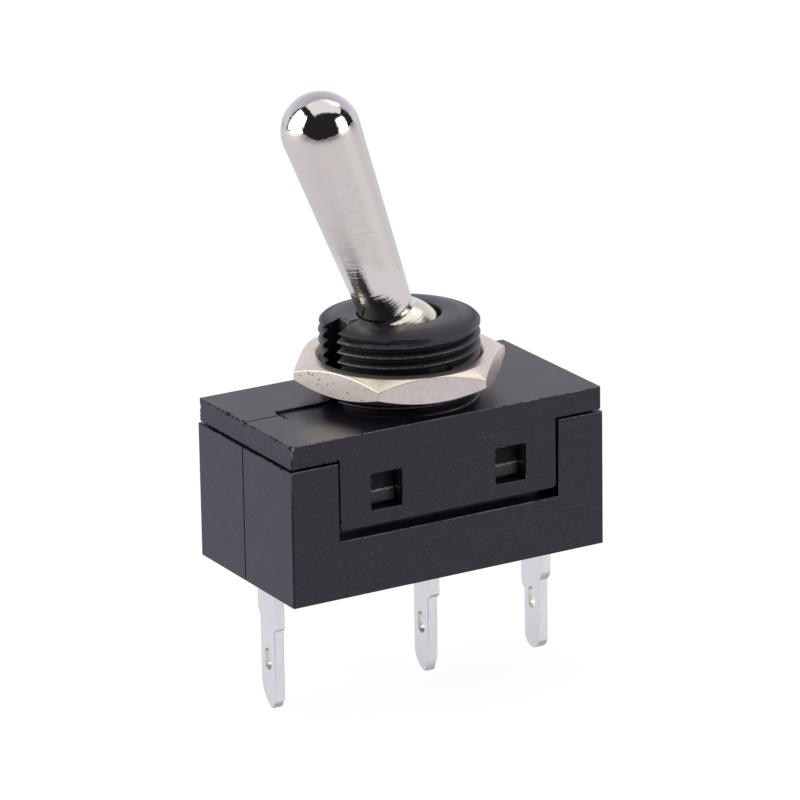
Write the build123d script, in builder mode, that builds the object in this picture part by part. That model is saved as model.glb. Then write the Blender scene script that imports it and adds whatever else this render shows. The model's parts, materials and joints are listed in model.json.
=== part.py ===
"""Panel toggle switch, single pole change-over, with a metal bat lever, a threaded
plastic bushing with its hexagon nut, and three solder terminals in a row.

All sizes are in millimetres. The origin is the centre of the cover's top face, on the
bushing's axis. +Z points out of the panel along the bushing, and +X runs along the row
of terminals. The lever is drawn leaning towards -X, so its lower arm presses the
rocker's +X end down and the right-hand contact is closed.
"""

from build123d import *
from math import asin, cos, degrees, hypot, radians, sin, tan
import os

# Cover: a plate with a bushing on top and a snap flap down each long side
COVER_LENGTH = 25.9
COVER_WIDTH = 13.67
COVER_PLATE = 1.73
COVER_EDGE = 0.12
SEAM_GAP = 0.15
SEAM_DEPTH = 0.45
FLAP_LENGTH = 18.1
FLAP_THICKNESS = 1.27
FLAP_DEPTH = 7.05
FLAP_CORNER = 0.4
WINDOW_SPACING = 10.4
WINDOW_WIDTH = 2.55
WINDOW_TOP = 3.2
WINDOW_HEIGHT = 2.75
RIM_HEIGHT = 1.2
RIM_THICKNESS = 0.9
GROOVE_WIDTH = 2.0
GROOVE_DEPTH = 0.18
GROOVE_END_LAND = 3.15

# Bushing: an M12 x 0.75 thread, drawn at its outside diameter
BUSHING_RADIUS = 5.9
THREAD_MEAN_RADIUS = 5.65
BUSHING_HEIGHT = 6.1
BUSHING_BEVEL_DROP = 0.32
BUSHING_FACE_RADIUS = 4.55
BUSHING_RIM_CHAMFER = 0.22
LEVER_HOLE_RADIUS = 3.1
KEYWAY_WIDTH = 2.1
KEYWAY_DEPTH = 1.5
MOUTH_RADIUS = 4.5
MOUTH_TOP = 0.6

# Mounting nut
NUT_ACROSS_FLATS = 14.12
NUT_THICKNESS = 1.95
NUT_HEIGHT_ON_THREAD = 1.25
NUT_CHAMFER_ANGLE = 30
NUT_CHAMFER_RADIUS = 7.0
NUT_BORE_CHAMFER = 0.45
NUT_TURN = -10.93

# Base: an open box with a recess and two snap bosses in each long side
BASE_OVERHANG = 0.11
BASE_BOTTOM = 12.1
BASE_FLOOR = 1.3
END_WALL = 1.1
SIDE_WALL = 1.1
BASE_EDGE = 0.15
BASE_TOP_CHAMFER = 0.06
CAVITY_CORNER = 0.5
FLAP_SIDE_GAP = 0.15
FLAP_BOTTOM_GAP = 0.7
FLAP_BACK_GAP = 0.065
BOSS_WIDTH = 2.2
BOSS_HEIGHT = 0.5
BOSS_TOP = 3.3
BOSS_RIDGE = 4.8
BOSS_CATCH = 5.7
LEDGE_LENGTH = 5.96
PARTITION_THICKNESS = 0.8
PARTITION_HEIGHT = 1.0

# Lever: a turned bat with a ball at its pivot and a bored lower arm
PIVOT_HEIGHT = 3.64
LEVER_THROW = 40.0
BALL_RADIUS = 3.6
BAT_FOOT_RADIUS = 2.0
BAT_TIP_RADIUS = 2.87
BAT_REACH = 20.93
ARM_RADIUS = 1.9
ARM_REACH = 7.6
ARM_CHAMFER = 0.3
PLUNGER_BORE_RADIUS = 1.15
PLUNGER_BORE_TOP = 1.5
PIN_RADIUS = 0.75
PIN_LENGTH = 9.4
PIN_CHAMFER = 0.15

# Plunger and its spring, inside the lower arm
PLUNGER_NOSE_RADIUS = 1.3
PLUNGER_TRAVEL = 1.2
PLUNGER_STEM_LENGTH = 3.8
SPRING_MEAN_RADIUS = 0.78
SPRING_WIRE_RADIUS = 0.13
SPRING_TURNS = 6

# Rocker: a stamped strip that tilts on the centre terminal's saddle
ROCKER_PIVOT_DEPTH = 8.4
ROCKER_TILT = 9.0
ROCKER_THICKNESS = 0.6
ROCKER_WIDTH = 4.2
ROCKER_END_GAP = 2.56
ROCKER_WRAP = 6.0
ROCKER_BEND_RADIUS = 1.0
TAB_WIDTH = 0.8
TAB_LENGTH = 1.1
CONTACT_INSET = 1.2
CONTACT_RADIUS = 1.3
MOVING_CONTACT_HEIGHT = 0.7
FIXED_CONTACT_HEIGHT = 0.5
CONTACT_EDGE = 0.15
CONTACT_SHANK_RADIUS = 0.7
CONTACT_CLINCH_RADIUS = 1.0
CONTACT_CLINCH_HEIGHT = 0.3

# Saddle and its rivet, on the centre terminal
SADDLE_THICKNESS = 0.6
SADDLE_LENGTH = 3.6
EAR_LENGTH = 2.4
EAR_RISE = 0.9
NOTCH_CLEARANCE = 0.05
RIVET_RADIUS = 0.6
RIVET_HEAD_RADIUS = 1.1
RIVET_HEAD_HEIGHT = 0.35

# Terminals: stamped blades bent through a right angle inside the base
TERMINAL_THICKNESS = 0.8
BLADE_WIDTH = 2.05
LEFT_TERMINAL_INSET = 1.96
CENTRE_TERMINAL_X = 1.85
RIGHT_TERMINAL_INSET = 1.61
LEFT_FRONT_SHOULDER = 1.25
LEFT_FRONT_SHOULDER_END = 15.75
LEFT_FRONT_SHOULDER_CURVE = 0.25
LEFT_BACK_SHOULDER = 1.38
LEFT_BACK_SHOULDER_END = 14.3
LEFT_BACK_SHOULDER_CURVE = 1.1
CENTRE_FRONT_SHOULDER = 1.45
CENTRE_FRONT_SHOULDER_END = 15.5
CENTRE_FRONT_SHOULDER_CURVE = 0.45
RIGHT_FRONT_SHOULDER = 1.5
RIGHT_FRONT_SHOULDER_END = 15.5
RIGHT_FRONT_SHOULDER_CURVE = 1.0
RIGHT_BACK_SHOULDER = 1.5
RIGHT_BACK_SHOULDER_END = 16.95
RIGHT_BACK_SHOULDER_CURVE = 0.75
SHELF_WIDTH = 4.4
BEND_INNER_RADIUS = 0.25
TIP_CHAMFER_WIDTH = 0.5
TIP_FLAT = 0.2
TERMINAL_DEPTH = 22.1
LEFT_TIP_CHAMFER_HEIGHT = 0.75
LEFT_TIP_CURVE_HEIGHT = 2.1
CENTRE_TIP_SHORTER = 0.22
CENTRE_TIP_CHAMFER_HEIGHT = 1.3
CENTRE_TIP_CURVE_HEIGHT = 1.55
RIGHT_TIP_SHORTER = 0.02
RIGHT_TIP_ROUND_HEIGHT = 1.05
EYE_WIDTH = 0.9
EYE_HEIGHT = 1.65
LEFT_EYE_ABOVE_TIP = 3.7
CENTRE_EYE_ABOVE_TIP = 3.73
RIGHT_EYE_ABOVE_TIP = 3.98

# Clearances between neighbouring pieces
RUNNING_CLEARANCE = 0.05
BALL_CLEARANCE = 0.1
PRESS_CLEARANCE = 0.02
TRACK_CLEARANCE = 0.06
CONTACT_GAP = 0.05
SLOT_CLEARANCE = 0.06
RIM_CLEARANCE = 0.1
PIN_END_CLEARANCE = 0.1

# Places that follow from the sizes above
SEAT = COVER_PLATE + SEAM_GAP
BASE_LENGTH = COVER_LENGTH + 2 * BASE_OVERHANG
BASE_WIDTH = COVER_WIDTH + 2 * BASE_OVERHANG
RECESS_FLOOR = COVER_WIDTH / 2 - FLAP_THICKNESS - FLAP_BACK_GAP
RECESS_HALF_LENGTH = FLAP_LENGTH / 2 + FLAP_SIDE_GAP
RECESS_BOTTOM = FLAP_DEPTH + FLAP_BOTTOM_GAP
CAVITY_LENGTH = BASE_LENGTH - 2 * END_WALL
CAVITY_WIDTH = 2 * (RECESS_FLOOR - SIDE_WALL)
FLOOR_TOP = -(BASE_BOTTOM - BASE_FLOOR)
PARTITION_X = CAVITY_LENGTH / 2 - LEDGE_LENGTH - PARTITION_THICKNESS / 2
LEFT_TERMINAL_X = -(BASE_LENGTH / 2 - LEFT_TERMINAL_INSET)
RIGHT_TERMINAL_X = BASE_LENGTH / 2 - RIGHT_TERMINAL_INSET
ROCKER_REACH = CAVITY_LENGTH / 2 - ROCKER_END_GAP
CONTACT_X = ROCKER_REACH - CONTACT_INSET

pivot = Vector(0, 0, PIVOT_HEIGHT)
lean = radians(LEVER_THROW / 2)
lever_up = Vector(-sin(lean), 0, cos(lean))
lever_side = Vector(cos(lean), 0, sin(lean))
lever_section = Plane(origin=pivot, x_dir=lever_side, z_dir=(0, -1, 0))
lever_axis = Axis(pivot, lever_up)

# The rocker's own frame: x along the strip and y upwards, turned with the strip
tilt = radians(ROCKER_TILT)
rocker_pivot = Vector(0, 0, -ROCKER_PIVOT_DEPTH)
rocker_section = Plane(
    origin=rocker_pivot,
    x_dir=(cos(tilt), 0, -sin(tilt)),
    z_dir=(0, -1, 0),
)

# The plunger's nose runs in a hollow track in the rocker. Its centre passes a point
# above the rocker's pivot with the lever upright, and this one at the end of the throw.
pivot_distance = PIVOT_HEIGHT + ROCKER_PIVOT_DEPTH
track_floor = ROCKER_THICKNESS / 2
nose_clear = PLUNGER_NOSE_RADIUS + TRACK_CLEARANCE
NOSE_REACH = pivot_distance - track_floor - nose_clear
nose_out = NOSE_REACH * sin(lean)
nose_up = pivot_distance - NOSE_REACH * cos(lean)
nose_x = nose_out * cos(tilt) - nose_up * sin(tilt)
nose_y = nose_out * sin(tilt) + nose_up * cos(tilt)
nose_rise = nose_y - (track_floor + nose_clear)
nose_path_radius = (nose_x**2 + nose_rise**2) / (2 * nose_rise)
track_centre_y = track_floor + nose_clear + nose_path_radius
track_middle_radius = track_centre_y
track_half_angle = degrees(asin(nose_x / nose_path_radius)) + ROCKER_WRAP

# The strip's outer ends slope so that a closed end lies level on its fixed contact
bend_start_x = track_middle_radius * sin(radians(track_half_angle))
bend_start_y = track_centre_y - track_middle_radius * cos(radians(track_half_angle))
bend_end_x = bend_start_x + ROCKER_BEND_RADIUS * (sin(radians(track_half_angle)) - sin(tilt))
bend_end_y = bend_start_y + ROCKER_BEND_RADIUS * (cos(tilt) - cos(radians(track_half_angle)))
contact_y = bend_end_y + (CONTACT_X - bend_end_x) * tan(tilt)
closed_contact = rocker_section.from_local_coords(Vector(CONTACT_X, contact_y, 0))
FIXED_CONTACT_X = closed_contact.X
moving_face_z = closed_contact.Z - ROCKER_THICKNESS / 2 - MOVING_CONTACT_HEIGHT
fixed_face_z = moving_face_z - CONTACT_GAP
SHELF_TOP = fixed_face_z - FIXED_CONTACT_HEIGHT
LEDGE_TOP = SHELF_TOP - TERMINAL_THICKNESS
CENTRE_SHELF_TOP = FLOOR_TOP + TERMINAL_THICKNESS


def make_terminal(label, x, front, back, tip, eye_above_tip, shelf, rivet):
    """Stamp a terminal: a flat blade, and a shelf bent inwards from its top.

    front and back each say how far a shoulder stands out from the blade's middle, where
    it ends and how high its curve down to the blade is. tip says how deep the tip
    reaches, the height of the cut at its front corner and the height of its curve, and
    without a cut the whole tip is round. shelf is where the shelf ends and how high its
    upper face lies, and rivet is the place and the radius of the hole in it.
    """
    tip_depth, tip_chamfer, tip_curve_height = tip
    shelf_end, shelf_top = shelf
    rivet_x, rivet_radius = rivet
    inward = 1 if shelf_end > x else -1
    outer_face = x - inward * TERMINAL_THICKNESS / 2
    inner_face = x + inward * TERMINAL_THICKNESS / 2
    neck_end = inner_face + inward * 2 * BEND_INNER_RADIUS
    neck_width = front[0] + back[0]
    neck_middle = (back[0] - front[0]) / 2
    half = BLADE_WIDTH / 2
    flat_front = -half + TIP_CHAMFER_WIDTH
    flat_back = flat_front + TIP_FLAT
    with BuildPart() as terminal:
        with BuildSketch(Plane.YZ.offset(x - TERMINAL_THICKNESS / 2)):
            with BuildLine():
                if tip_chamfer:
                    Polyline(
                        (-half, -tip_depth + tip_chamfer),
                        (flat_front, -tip_depth),
                        (flat_back, -tip_depth),
                    )
                    tip_curve = TangentArc(
                        (half, -tip_depth + tip_curve_height),
                        (flat_back, -tip_depth),
                        tangent=(0, -1),
                    )
                    edge_ends = (-tip_depth + tip_chamfer, (tip_curve @ 0).Y)
                else:
                    round_start = -tip_depth + tip_curve_height
                    ThreePointArc((-half, round_start), (0, -tip_depth), (half, round_start))
                    edge_ends = (round_start, round_start)
                for side, shoulder, edge_end in zip((-1, 1), (front, back), edge_ends):
                    reach, end, curve_height = shoulder
                    top = (side * reach, shelf_top)
                    if reach > half:
                        curve = TangentArc(
                            (side * reach, -end),
                            (side * half, -end - curve_height),
                            tangent=(0, -1),
                        )
                        Line(top, curve @ 0)
                        Line(curve @ 1, (side * half, edge_end))
                    else:
                        Line(top, (side * half, edge_end))
                Line((-front[0], shelf_top), (back[0], shelf_top))
            make_face()
            with Locations((0, -tip_depth + eye_above_tip)):
                SlotOverall(EYE_HEIGHT, EYE_WIDTH, rotation=90, mode=Mode.SUBTRACT)
        extrude(amount=TERMINAL_THICKNESS)
        with BuildSketch(Plane.XY.offset(shelf_top)):
            with Locations(((outer_face + shelf_end) / 2, neck_middle)):
                Rectangle(abs(shelf_end - outer_face), neck_width)
            with Locations(((neck_end + shelf_end) / 2, 0)):
                Rectangle(abs(shelf_end - neck_end), SHELF_WIDTH)
            with Locations((rivet_x, 0)):
                Circle(rivet_radius, mode=Mode.SUBTRACT)
        extrude(amount=-TERMINAL_THICKNESS)
        across = terminal.edges().filter_by(Axis.Y)
        outer_corner = across.sort_by_distance((outer_face, 0, shelf_top))[0]
        inner_corner = across.sort_by_distance((inner_face, 0, shelf_top - TERMINAL_THICKNESS))[0]
        fillet(outer_corner, TERMINAL_THICKNESS + BEND_INNER_RADIUS)
        fillet(inner_corner, BEND_INNER_RADIUS)
    terminal.part.label = label
    return terminal.part


def make_contact(label, face, head_height, shank_length, clinch_height):
    """Turn a contact rivet that stands on a face: a disc, a shank and a clinched end.

    The face's own x direction points from the disc towards the clinched end.
    """
    shank = CONTACT_SHANK_RADIUS - PRESS_CLEARANCE
    outline = [
        (-head_height, 0),
        (-head_height, CONTACT_RADIUS - CONTACT_EDGE),
        (-head_height + CONTACT_EDGE, CONTACT_RADIUS),
        (0, CONTACT_RADIUS),
        (0, shank),
        (shank_length, shank),
    ]
    if clinch_height:
        outline += [
            (shank_length, CONTACT_CLINCH_RADIUS),
            (shank_length + clinch_height, shank),
        ]
    outline.append((shank_length + clinch_height, 0))
    with BuildPart() as contact:
        with BuildSketch(face):
            with BuildLine():
                Polyline(*outline, close=True)
            make_face()
        revolve(axis=Axis(face.origin, face.x_dir))
    contact.part.label = label
    return contact.part


# Base housing
with BuildPart() as base_housing:
    with BuildSketch(Plane.XY.offset(-SEAT)):
        Rectangle(BASE_LENGTH, BASE_WIDTH)
    extrude(amount=-(BASE_BOTTOM - SEAT))
    fillet(base_housing.edges().filter_by(Axis.Z), BASE_EDGE)
    chamfer(base_housing.faces().sort_by(Axis.Z)[-1].edges(), BASE_TOP_CHAMFER)

    # cavity, with low ribs across it that locate the three terminals' shelves
    with BuildSketch(Plane.XY.offset(FLOOR_TOP)):
        RectangleRounded(CAVITY_LENGTH, CAVITY_WIDTH, CAVITY_CORNER)
    extrude(amount=-SEAT - FLOOR_TOP, mode=Mode.SUBTRACT)
    with BuildSketch(Plane.XY.offset(FLOOR_TOP)):
        with Locations((-PARTITION_X, 0), (PARTITION_X, 0)):
            Rectangle(PARTITION_THICKNESS, CAVITY_WIDTH)
    extrude(amount=PARTITION_HEIGHT)

    # a ledge at each end carries an outer terminal's shelf
    ledge_middle = (CAVITY_LENGTH - LEDGE_LENGTH) / 2
    with BuildSketch(Plane.XY.offset(FLOOR_TOP)):
        with Locations((-ledge_middle, 0), (ledge_middle, 0)):
            Rectangle(LEDGE_LENGTH, CAVITY_WIDTH)
    extrude(amount=LEDGE_TOP - FLOOR_TOP)

    # recess and snap bosses in each long side
    with BuildSketch(Plane.XZ.offset(-BASE_WIDTH / 2)):
        with Locations((0, -(SEAT + RECESS_BOTTOM) / 2)):
            Rectangle(2 * RECESS_HALF_LENGTH, RECESS_BOTTOM - SEAT)
    extrude(amount=BASE_WIDTH / 2 - RECESS_FLOOR, mode=Mode.SUBTRACT)
    with BuildSketch(Plane.XZ.offset(BASE_WIDTH / 2)):
        with Locations((0, -(SEAT + RECESS_BOTTOM) / 2)):
            Rectangle(2 * RECESS_HALF_LENGTH, RECESS_BOTTOM - SEAT)
    extrude(amount=-(BASE_WIDTH / 2 - RECESS_FLOOR), mode=Mode.SUBTRACT)
    for boss_x in (-WINDOW_SPACING / 2, WINDOW_SPACING / 2):
        with BuildSketch(Plane.YZ.offset(boss_x - BOSS_WIDTH / 2)) as boss:
            with BuildLine():
                Polyline(
                    (RECESS_FLOOR, -BOSS_TOP),
                    (RECESS_FLOOR + BOSS_HEIGHT, -BOSS_RIDGE),
                    (RECESS_FLOOR + BOSS_HEIGHT, -BOSS_CATCH),
                    (RECESS_FLOOR, -BOSS_CATCH),
                    close=True,
                )
            make_face()
            mirror(about=Plane.YZ)
        extrude(amount=BOSS_WIDTH)

    # slots for the blades, each eased where the blade's bend lies
    for slot_x, front, back, slot_top in (
        (LEFT_TERMINAL_X, LEFT_FRONT_SHOULDER, LEFT_BACK_SHOULDER, LEDGE_TOP),
        (CENTRE_TERMINAL_X, CENTRE_FRONT_SHOULDER, BLADE_WIDTH / 2, FLOOR_TOP),
        (RIGHT_TERMINAL_X, RIGHT_FRONT_SHOULDER, RIGHT_BACK_SHOULDER, LEDGE_TOP),
    ):
        slot_thickness = TERMINAL_THICKNESS + 2 * SLOT_CLEARANCE
        slot_width = front + back + 2 * SLOT_CLEARANCE
        slot_place = (slot_x, (back - front) / 2)
        ease = 2 * (BEND_INNER_RADIUS + SLOT_CLEARANCE)
        with BuildSketch(Plane.XY.offset(slot_top)):
            with Locations(slot_place):
                Rectangle(slot_thickness, slot_width)
        extrude(amount=-(slot_top + BASE_BOTTOM), mode=Mode.SUBTRACT)
        with BuildSketch(Plane.XY.offset(slot_top)):
            with Locations(slot_place):
                Rectangle(slot_thickness + ease, slot_width)
        extrude(amount=-ease / 2, mode=Mode.SUBTRACT)

    # pocket under the saddle's rivet
    with BuildSketch(Plane.XY.offset(FLOOR_TOP)):
        Circle(RIVET_HEAD_RADIUS + SLOT_CLEARANCE)
    extrude(amount=-RIVET_HEAD_HEIGHT - SLOT_CLEARANCE, mode=Mode.SUBTRACT)
base_housing.part.label = "base_housing"
export_step(base_housing.part, "parts/base_housing.step")

# Cover housing
with BuildPart() as cover_housing:
    with BuildSketch(Plane.XY):
        Rectangle(COVER_LENGTH, COVER_WIDTH)
    extrude(amount=-COVER_PLATE)
    fillet(cover_housing.edges().filter_by(Axis.Z), COVER_EDGE)

    # snap flaps, flush with the long sides
    with BuildSketch(Plane.XZ.offset(COVER_WIDTH / 2)) as flap:
        with Locations((0, -FLAP_DEPTH / 2)):
            Rectangle(FLAP_LENGTH, FLAP_DEPTH)
        fillet(flap.vertices().group_by(Axis.Z)[0], FLAP_CORNER)
        with Locations(
            (-WINDOW_SPACING / 2, -WINDOW_TOP - WINDOW_HEIGHT / 2),
            (WINDOW_SPACING / 2, -WINDOW_TOP - WINDOW_HEIGHT / 2),
        ):
            Rectangle(WINDOW_WIDTH, WINDOW_HEIGHT, mode=Mode.SUBTRACT)
    extrude(amount=-FLAP_THICKNESS)
    extrude(flap.sketch.mirror(Plane.XZ), amount=FLAP_THICKNESS, dir=(0, -1, 0))

    # pad that seats on the base's walls and holds the seam open round the edge
    with BuildSketch(Plane.XY.offset(-COVER_PLATE)):
        Rectangle(COVER_LENGTH - 2 * SEAM_DEPTH, COVER_WIDTH - 2 * SEAM_DEPTH)
    extrude(amount=-SEAM_GAP)

    # rim that drops inside the base's walls
    with BuildSketch(Plane.XY.offset(-SEAT)):
        rim_length = CAVITY_LENGTH - 2 * RIM_CLEARANCE
        rim_width = CAVITY_WIDTH - 2 * RIM_CLEARANCE
        RectangleRounded(rim_length, rim_width, CAVITY_CORNER)
        Rectangle(
            rim_length - 2 * RIM_THICKNESS,
            rim_width - 2 * RIM_THICKNESS,
            mode=Mode.SUBTRACT,
        )
    extrude(amount=-RIM_HEIGHT)

    # threaded bushing
    with BuildSketch(Plane.XZ):
        with BuildLine():
            Polyline(
                (0, 0),
                (BUSHING_RADIUS, 0),
                (BUSHING_RADIUS, BUSHING_HEIGHT - BUSHING_BEVEL_DROP - BUSHING_RIM_CHAMFER),
                (BUSHING_RADIUS - BUSHING_RIM_CHAMFER, BUSHING_HEIGHT - BUSHING_BEVEL_DROP),
                (BUSHING_FACE_RADIUS, BUSHING_HEIGHT),
                (0, BUSHING_HEIGHT),
                close=True,
            )
        make_face()
    revolve(axis=Axis.Z)

    # inside the nut the two threads are in mesh, so both are drawn at their mean there
    with BuildSketch(Plane.XY.offset(NUT_HEIGHT_ON_THREAD)):
        Circle(BUSHING_RADIUS)
        Circle(THREAD_MEAN_RADIUS, mode=Mode.SUBTRACT)
    extrude(amount=NUT_THICKNESS, mode=Mode.SUBTRACT)

    # seat for the lever's ball, under a lip that keeps it in, and a flared mouth below
    seat_radius = BALL_RADIUS + BALL_CLEARANCE
    lip_bottom = PIVOT_HEIGHT + (seat_radius**2 - LEVER_HOLE_RADIUS**2) ** 0.5
    with BuildSketch(Plane.XZ):
        with BuildLine():
            bore = Polyline(
                (0, BUSHING_HEIGHT),
                (LEVER_HOLE_RADIUS, BUSHING_HEIGHT),
                (LEVER_HOLE_RADIUS, lip_bottom),
            )
            seat_middle = (lip_bottom + PIVOT_HEIGHT) / 2
            seat = ThreePointArc(
                bore @ 1,
                ((seat_radius**2 - (seat_middle - PIVOT_HEIGHT) ** 2) ** 0.5, seat_middle),
                (seat_radius, PIVOT_HEIGHT),
            )
            Polyline(
                seat @ 1,
                (seat_radius, MOUTH_TOP),
                (MOUTH_RADIUS, -SEAT),
                (0, -SEAT),
                bore @ 0,
            )
        make_face()
    revolve(axis=Axis.Z, mode=Mode.SUBTRACT)

    # slots for the pivot pin's ends, open below, where the pin goes in with the ball
    with BuildSketch(Plane.XZ):
        with Locations((0, PIVOT_HEIGHT)):
            Circle(PIN_RADIUS + RUNNING_CLEARANCE)
        with Locations((0, (PIVOT_HEIGHT - SEAT) / 2)):
            Rectangle(2 * (PIN_RADIUS + RUNNING_CLEARANCE), PIVOT_HEIGHT + SEAT)
    extrude(amount=PIN_LENGTH / 2 + PIN_END_CLEARANCE, both=True, mode=Mode.SUBTRACT)

    # keyway down the thread, and the shallow groove that runs out from its foot
    keyway_floor = BUSHING_RADIUS - KEYWAY_DEPTH
    with BuildSketch(Plane.XY):
        with Locations((-(BUSHING_RADIUS + keyway_floor) / 2 - BUSHING_RIM_CHAMFER, 0)):
            Rectangle(KEYWAY_DEPTH + 2 * BUSHING_RIM_CHAMFER, KEYWAY_WIDTH)
    extrude(amount=BUSHING_HEIGHT, mode=Mode.SUBTRACT)
    groove_end = -COVER_LENGTH / 2 + GROOVE_END_LAND
    with BuildSketch(Plane.XY):
        with Locations(((groove_end - keyway_floor) / 2, 0)):
            Rectangle(-keyway_floor - groove_end, GROOVE_WIDTH)
    extrude(amount=-GROOVE_DEPTH, mode=Mode.SUBTRACT)
cover_housing.part.label = "cover_housing"
export_step(cover_housing.part, "parts/cover_housing.step")

# Mounting nut
with BuildPart() as mounting_nut:
    nut_corner = NUT_ACROSS_FLATS / 2 / cos(radians(30))
    nut_middle = NUT_HEIGHT_ON_THREAD + NUT_THICKNESS / 2
    with BuildSketch(Plane.XY.offset(NUT_HEIGHT_ON_THREAD)):
        RegularPolygon(nut_corner, 6, rotation=NUT_TURN)
    extrude(amount=NUT_THICKNESS)
    with BuildSketch(Plane.XZ):
        with BuildLine():
            drop = (nut_corner - NUT_CHAMFER_RADIUS) * tan(radians(NUT_CHAMFER_ANGLE))
            Polyline(
                (0, NUT_HEIGHT_ON_THREAD),
                (NUT_CHAMFER_RADIUS, NUT_HEIGHT_ON_THREAD),
                (nut_corner, NUT_HEIGHT_ON_THREAD + drop),
                (nut_corner, NUT_HEIGHT_ON_THREAD + NUT_THICKNESS - drop),
                (NUT_CHAMFER_RADIUS, NUT_HEIGHT_ON_THREAD + NUT_THICKNESS),
                (0, NUT_HEIGHT_ON_THREAD + NUT_THICKNESS),
                close=True,
            )
        make_face()
    revolve(axis=Axis.Z, mode=Mode.INTERSECT)
    with Locations((0, 0, nut_middle)):
        Hole(THREAD_MEAN_RADIUS + RUNNING_CLEARANCE)
    bore_edges = mounting_nut.edges().filter_by(GeomType.CIRCLE).sort_by(SortBy.RADIUS)[:2]
    chamfer(bore_edges, NUT_BORE_CHAMFER)
mounting_nut.part.label = "mounting_nut"
export_step(mounting_nut.part, "parts/mounting_nut.step")

# Lever
with BuildPart() as lever:
    with BuildSketch(lever_section):
        with BuildLine():
            bat_end = BAT_REACH - BAT_TIP_RADIUS
            foot_along = (BALL_RADIUS**2 - BAT_FOOT_RADIUS**2) ** 0.5
            arm_along = -((BALL_RADIUS**2 - ARM_RADIUS**2) ** 0.5)
            tip = ThreePointArc(
                (0, BAT_REACH),
                (BAT_TIP_RADIUS * sin(radians(45)), bat_end + BAT_TIP_RADIUS * cos(radians(45))),
                (BAT_TIP_RADIUS, bat_end),
            )
            bat = Line(tip @ 1, (BAT_FOOT_RADIUS, foot_along))
            ball = ThreePointArc(bat @ 1, (BALL_RADIUS, 0), (ARM_RADIUS, arm_along))
            Polyline(
                ball @ 1,
                (ARM_RADIUS, -ARM_REACH + ARM_CHAMFER),
                (ARM_RADIUS - ARM_CHAMFER, -ARM_REACH),
                (PLUNGER_BORE_RADIUS, -ARM_REACH),
                (PLUNGER_BORE_RADIUS, -PLUNGER_BORE_TOP),
                (0, -PLUNGER_BORE_TOP),
                tip @ 0,
            )
        make_face()
    revolve(axis=lever_axis)
    with BuildSketch(Plane.XZ):
        with Locations((0, PIVOT_HEIGHT)):
            Circle(PIN_RADIUS + PRESS_CLEARANCE)
    extrude(amount=BALL_RADIUS, both=True, mode=Mode.SUBTRACT)
lever.part.label = "lever"
export_step(lever.part, "parts/lever.step")

# Pivot pin, pressed through the ball
with BuildPart() as pivot_pin:
    with BuildSketch(Plane.XZ):
        with Locations((0, PIVOT_HEIGHT)):
            Circle(PIN_RADIUS)
    extrude(amount=PIN_LENGTH / 2, both=True)
    chamfer(pivot_pin.edges().filter_by(GeomType.CIRCLE), PIN_CHAMFER)
pivot_pin.part.label = "pivot_pin"
export_step(pivot_pin.part, "parts/pivot_pin.step")

# Plunger: a moulded stem in the lower arm's bore, with a round nose on the rocker
with BuildPart() as plunger:
    shoulder_along = -ARM_REACH - PLUNGER_TRAVEL
    stem_radius = PLUNGER_BORE_RADIUS - RUNNING_CLEARANCE
    stem_top = shoulder_along + PLUNGER_STEM_LENGTH
    with BuildSketch(lever_section):
        with BuildLine():
            stem = Polyline(
                (0, stem_top),
                (stem_radius, stem_top),
                (stem_radius, shoulder_along),
                (PLUNGER_NOSE_RADIUS, shoulder_along),
                (PLUNGER_NOSE_RADIUS, -NOSE_REACH),
            )
            nose = ThreePointArc(
                stem @ 1,
                (
                    PLUNGER_NOSE_RADIUS * cos(radians(45)),
                    -NOSE_REACH - PLUNGER_NOSE_RADIUS * sin(radians(45)),
                ),
                (0, -NOSE_REACH - PLUNGER_NOSE_RADIUS),
            )
            Line(nose @ 1, stem @ 0)
        make_face()
    revolve(axis=lever_axis)
plunger.part.label = "plunger"
export_step(plunger.part, "parts/plunger.step")

# Plunger spring, between the bore's blind end and the plunger's stem
with BuildPart() as plunger_spring:
    spring_room = -PLUNGER_BORE_TOP - stem_top
    spring_length = spring_room - 2 * (SPRING_WIRE_RADIUS + PRESS_CLEARANCE)
    spring_foot = pivot + lever_up * (stem_top + SPRING_WIRE_RADIUS + PRESS_CLEARANCE)
    with BuildLine():
        coil = Helix(
            pitch=spring_length / SPRING_TURNS,
            height=spring_length,
            radius=SPRING_MEAN_RADIUS,
            center=spring_foot,
            direction=lever_up,
        )
    with BuildSketch(Plane(origin=coil @ 0, z_dir=coil % 0)):
        Circle(SPRING_WIRE_RADIUS)
    sweep()
plunger_spring.part.label = "plunger_spring"
export_step(plunger_spring.part, "parts/plunger_spring.step")

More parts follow.
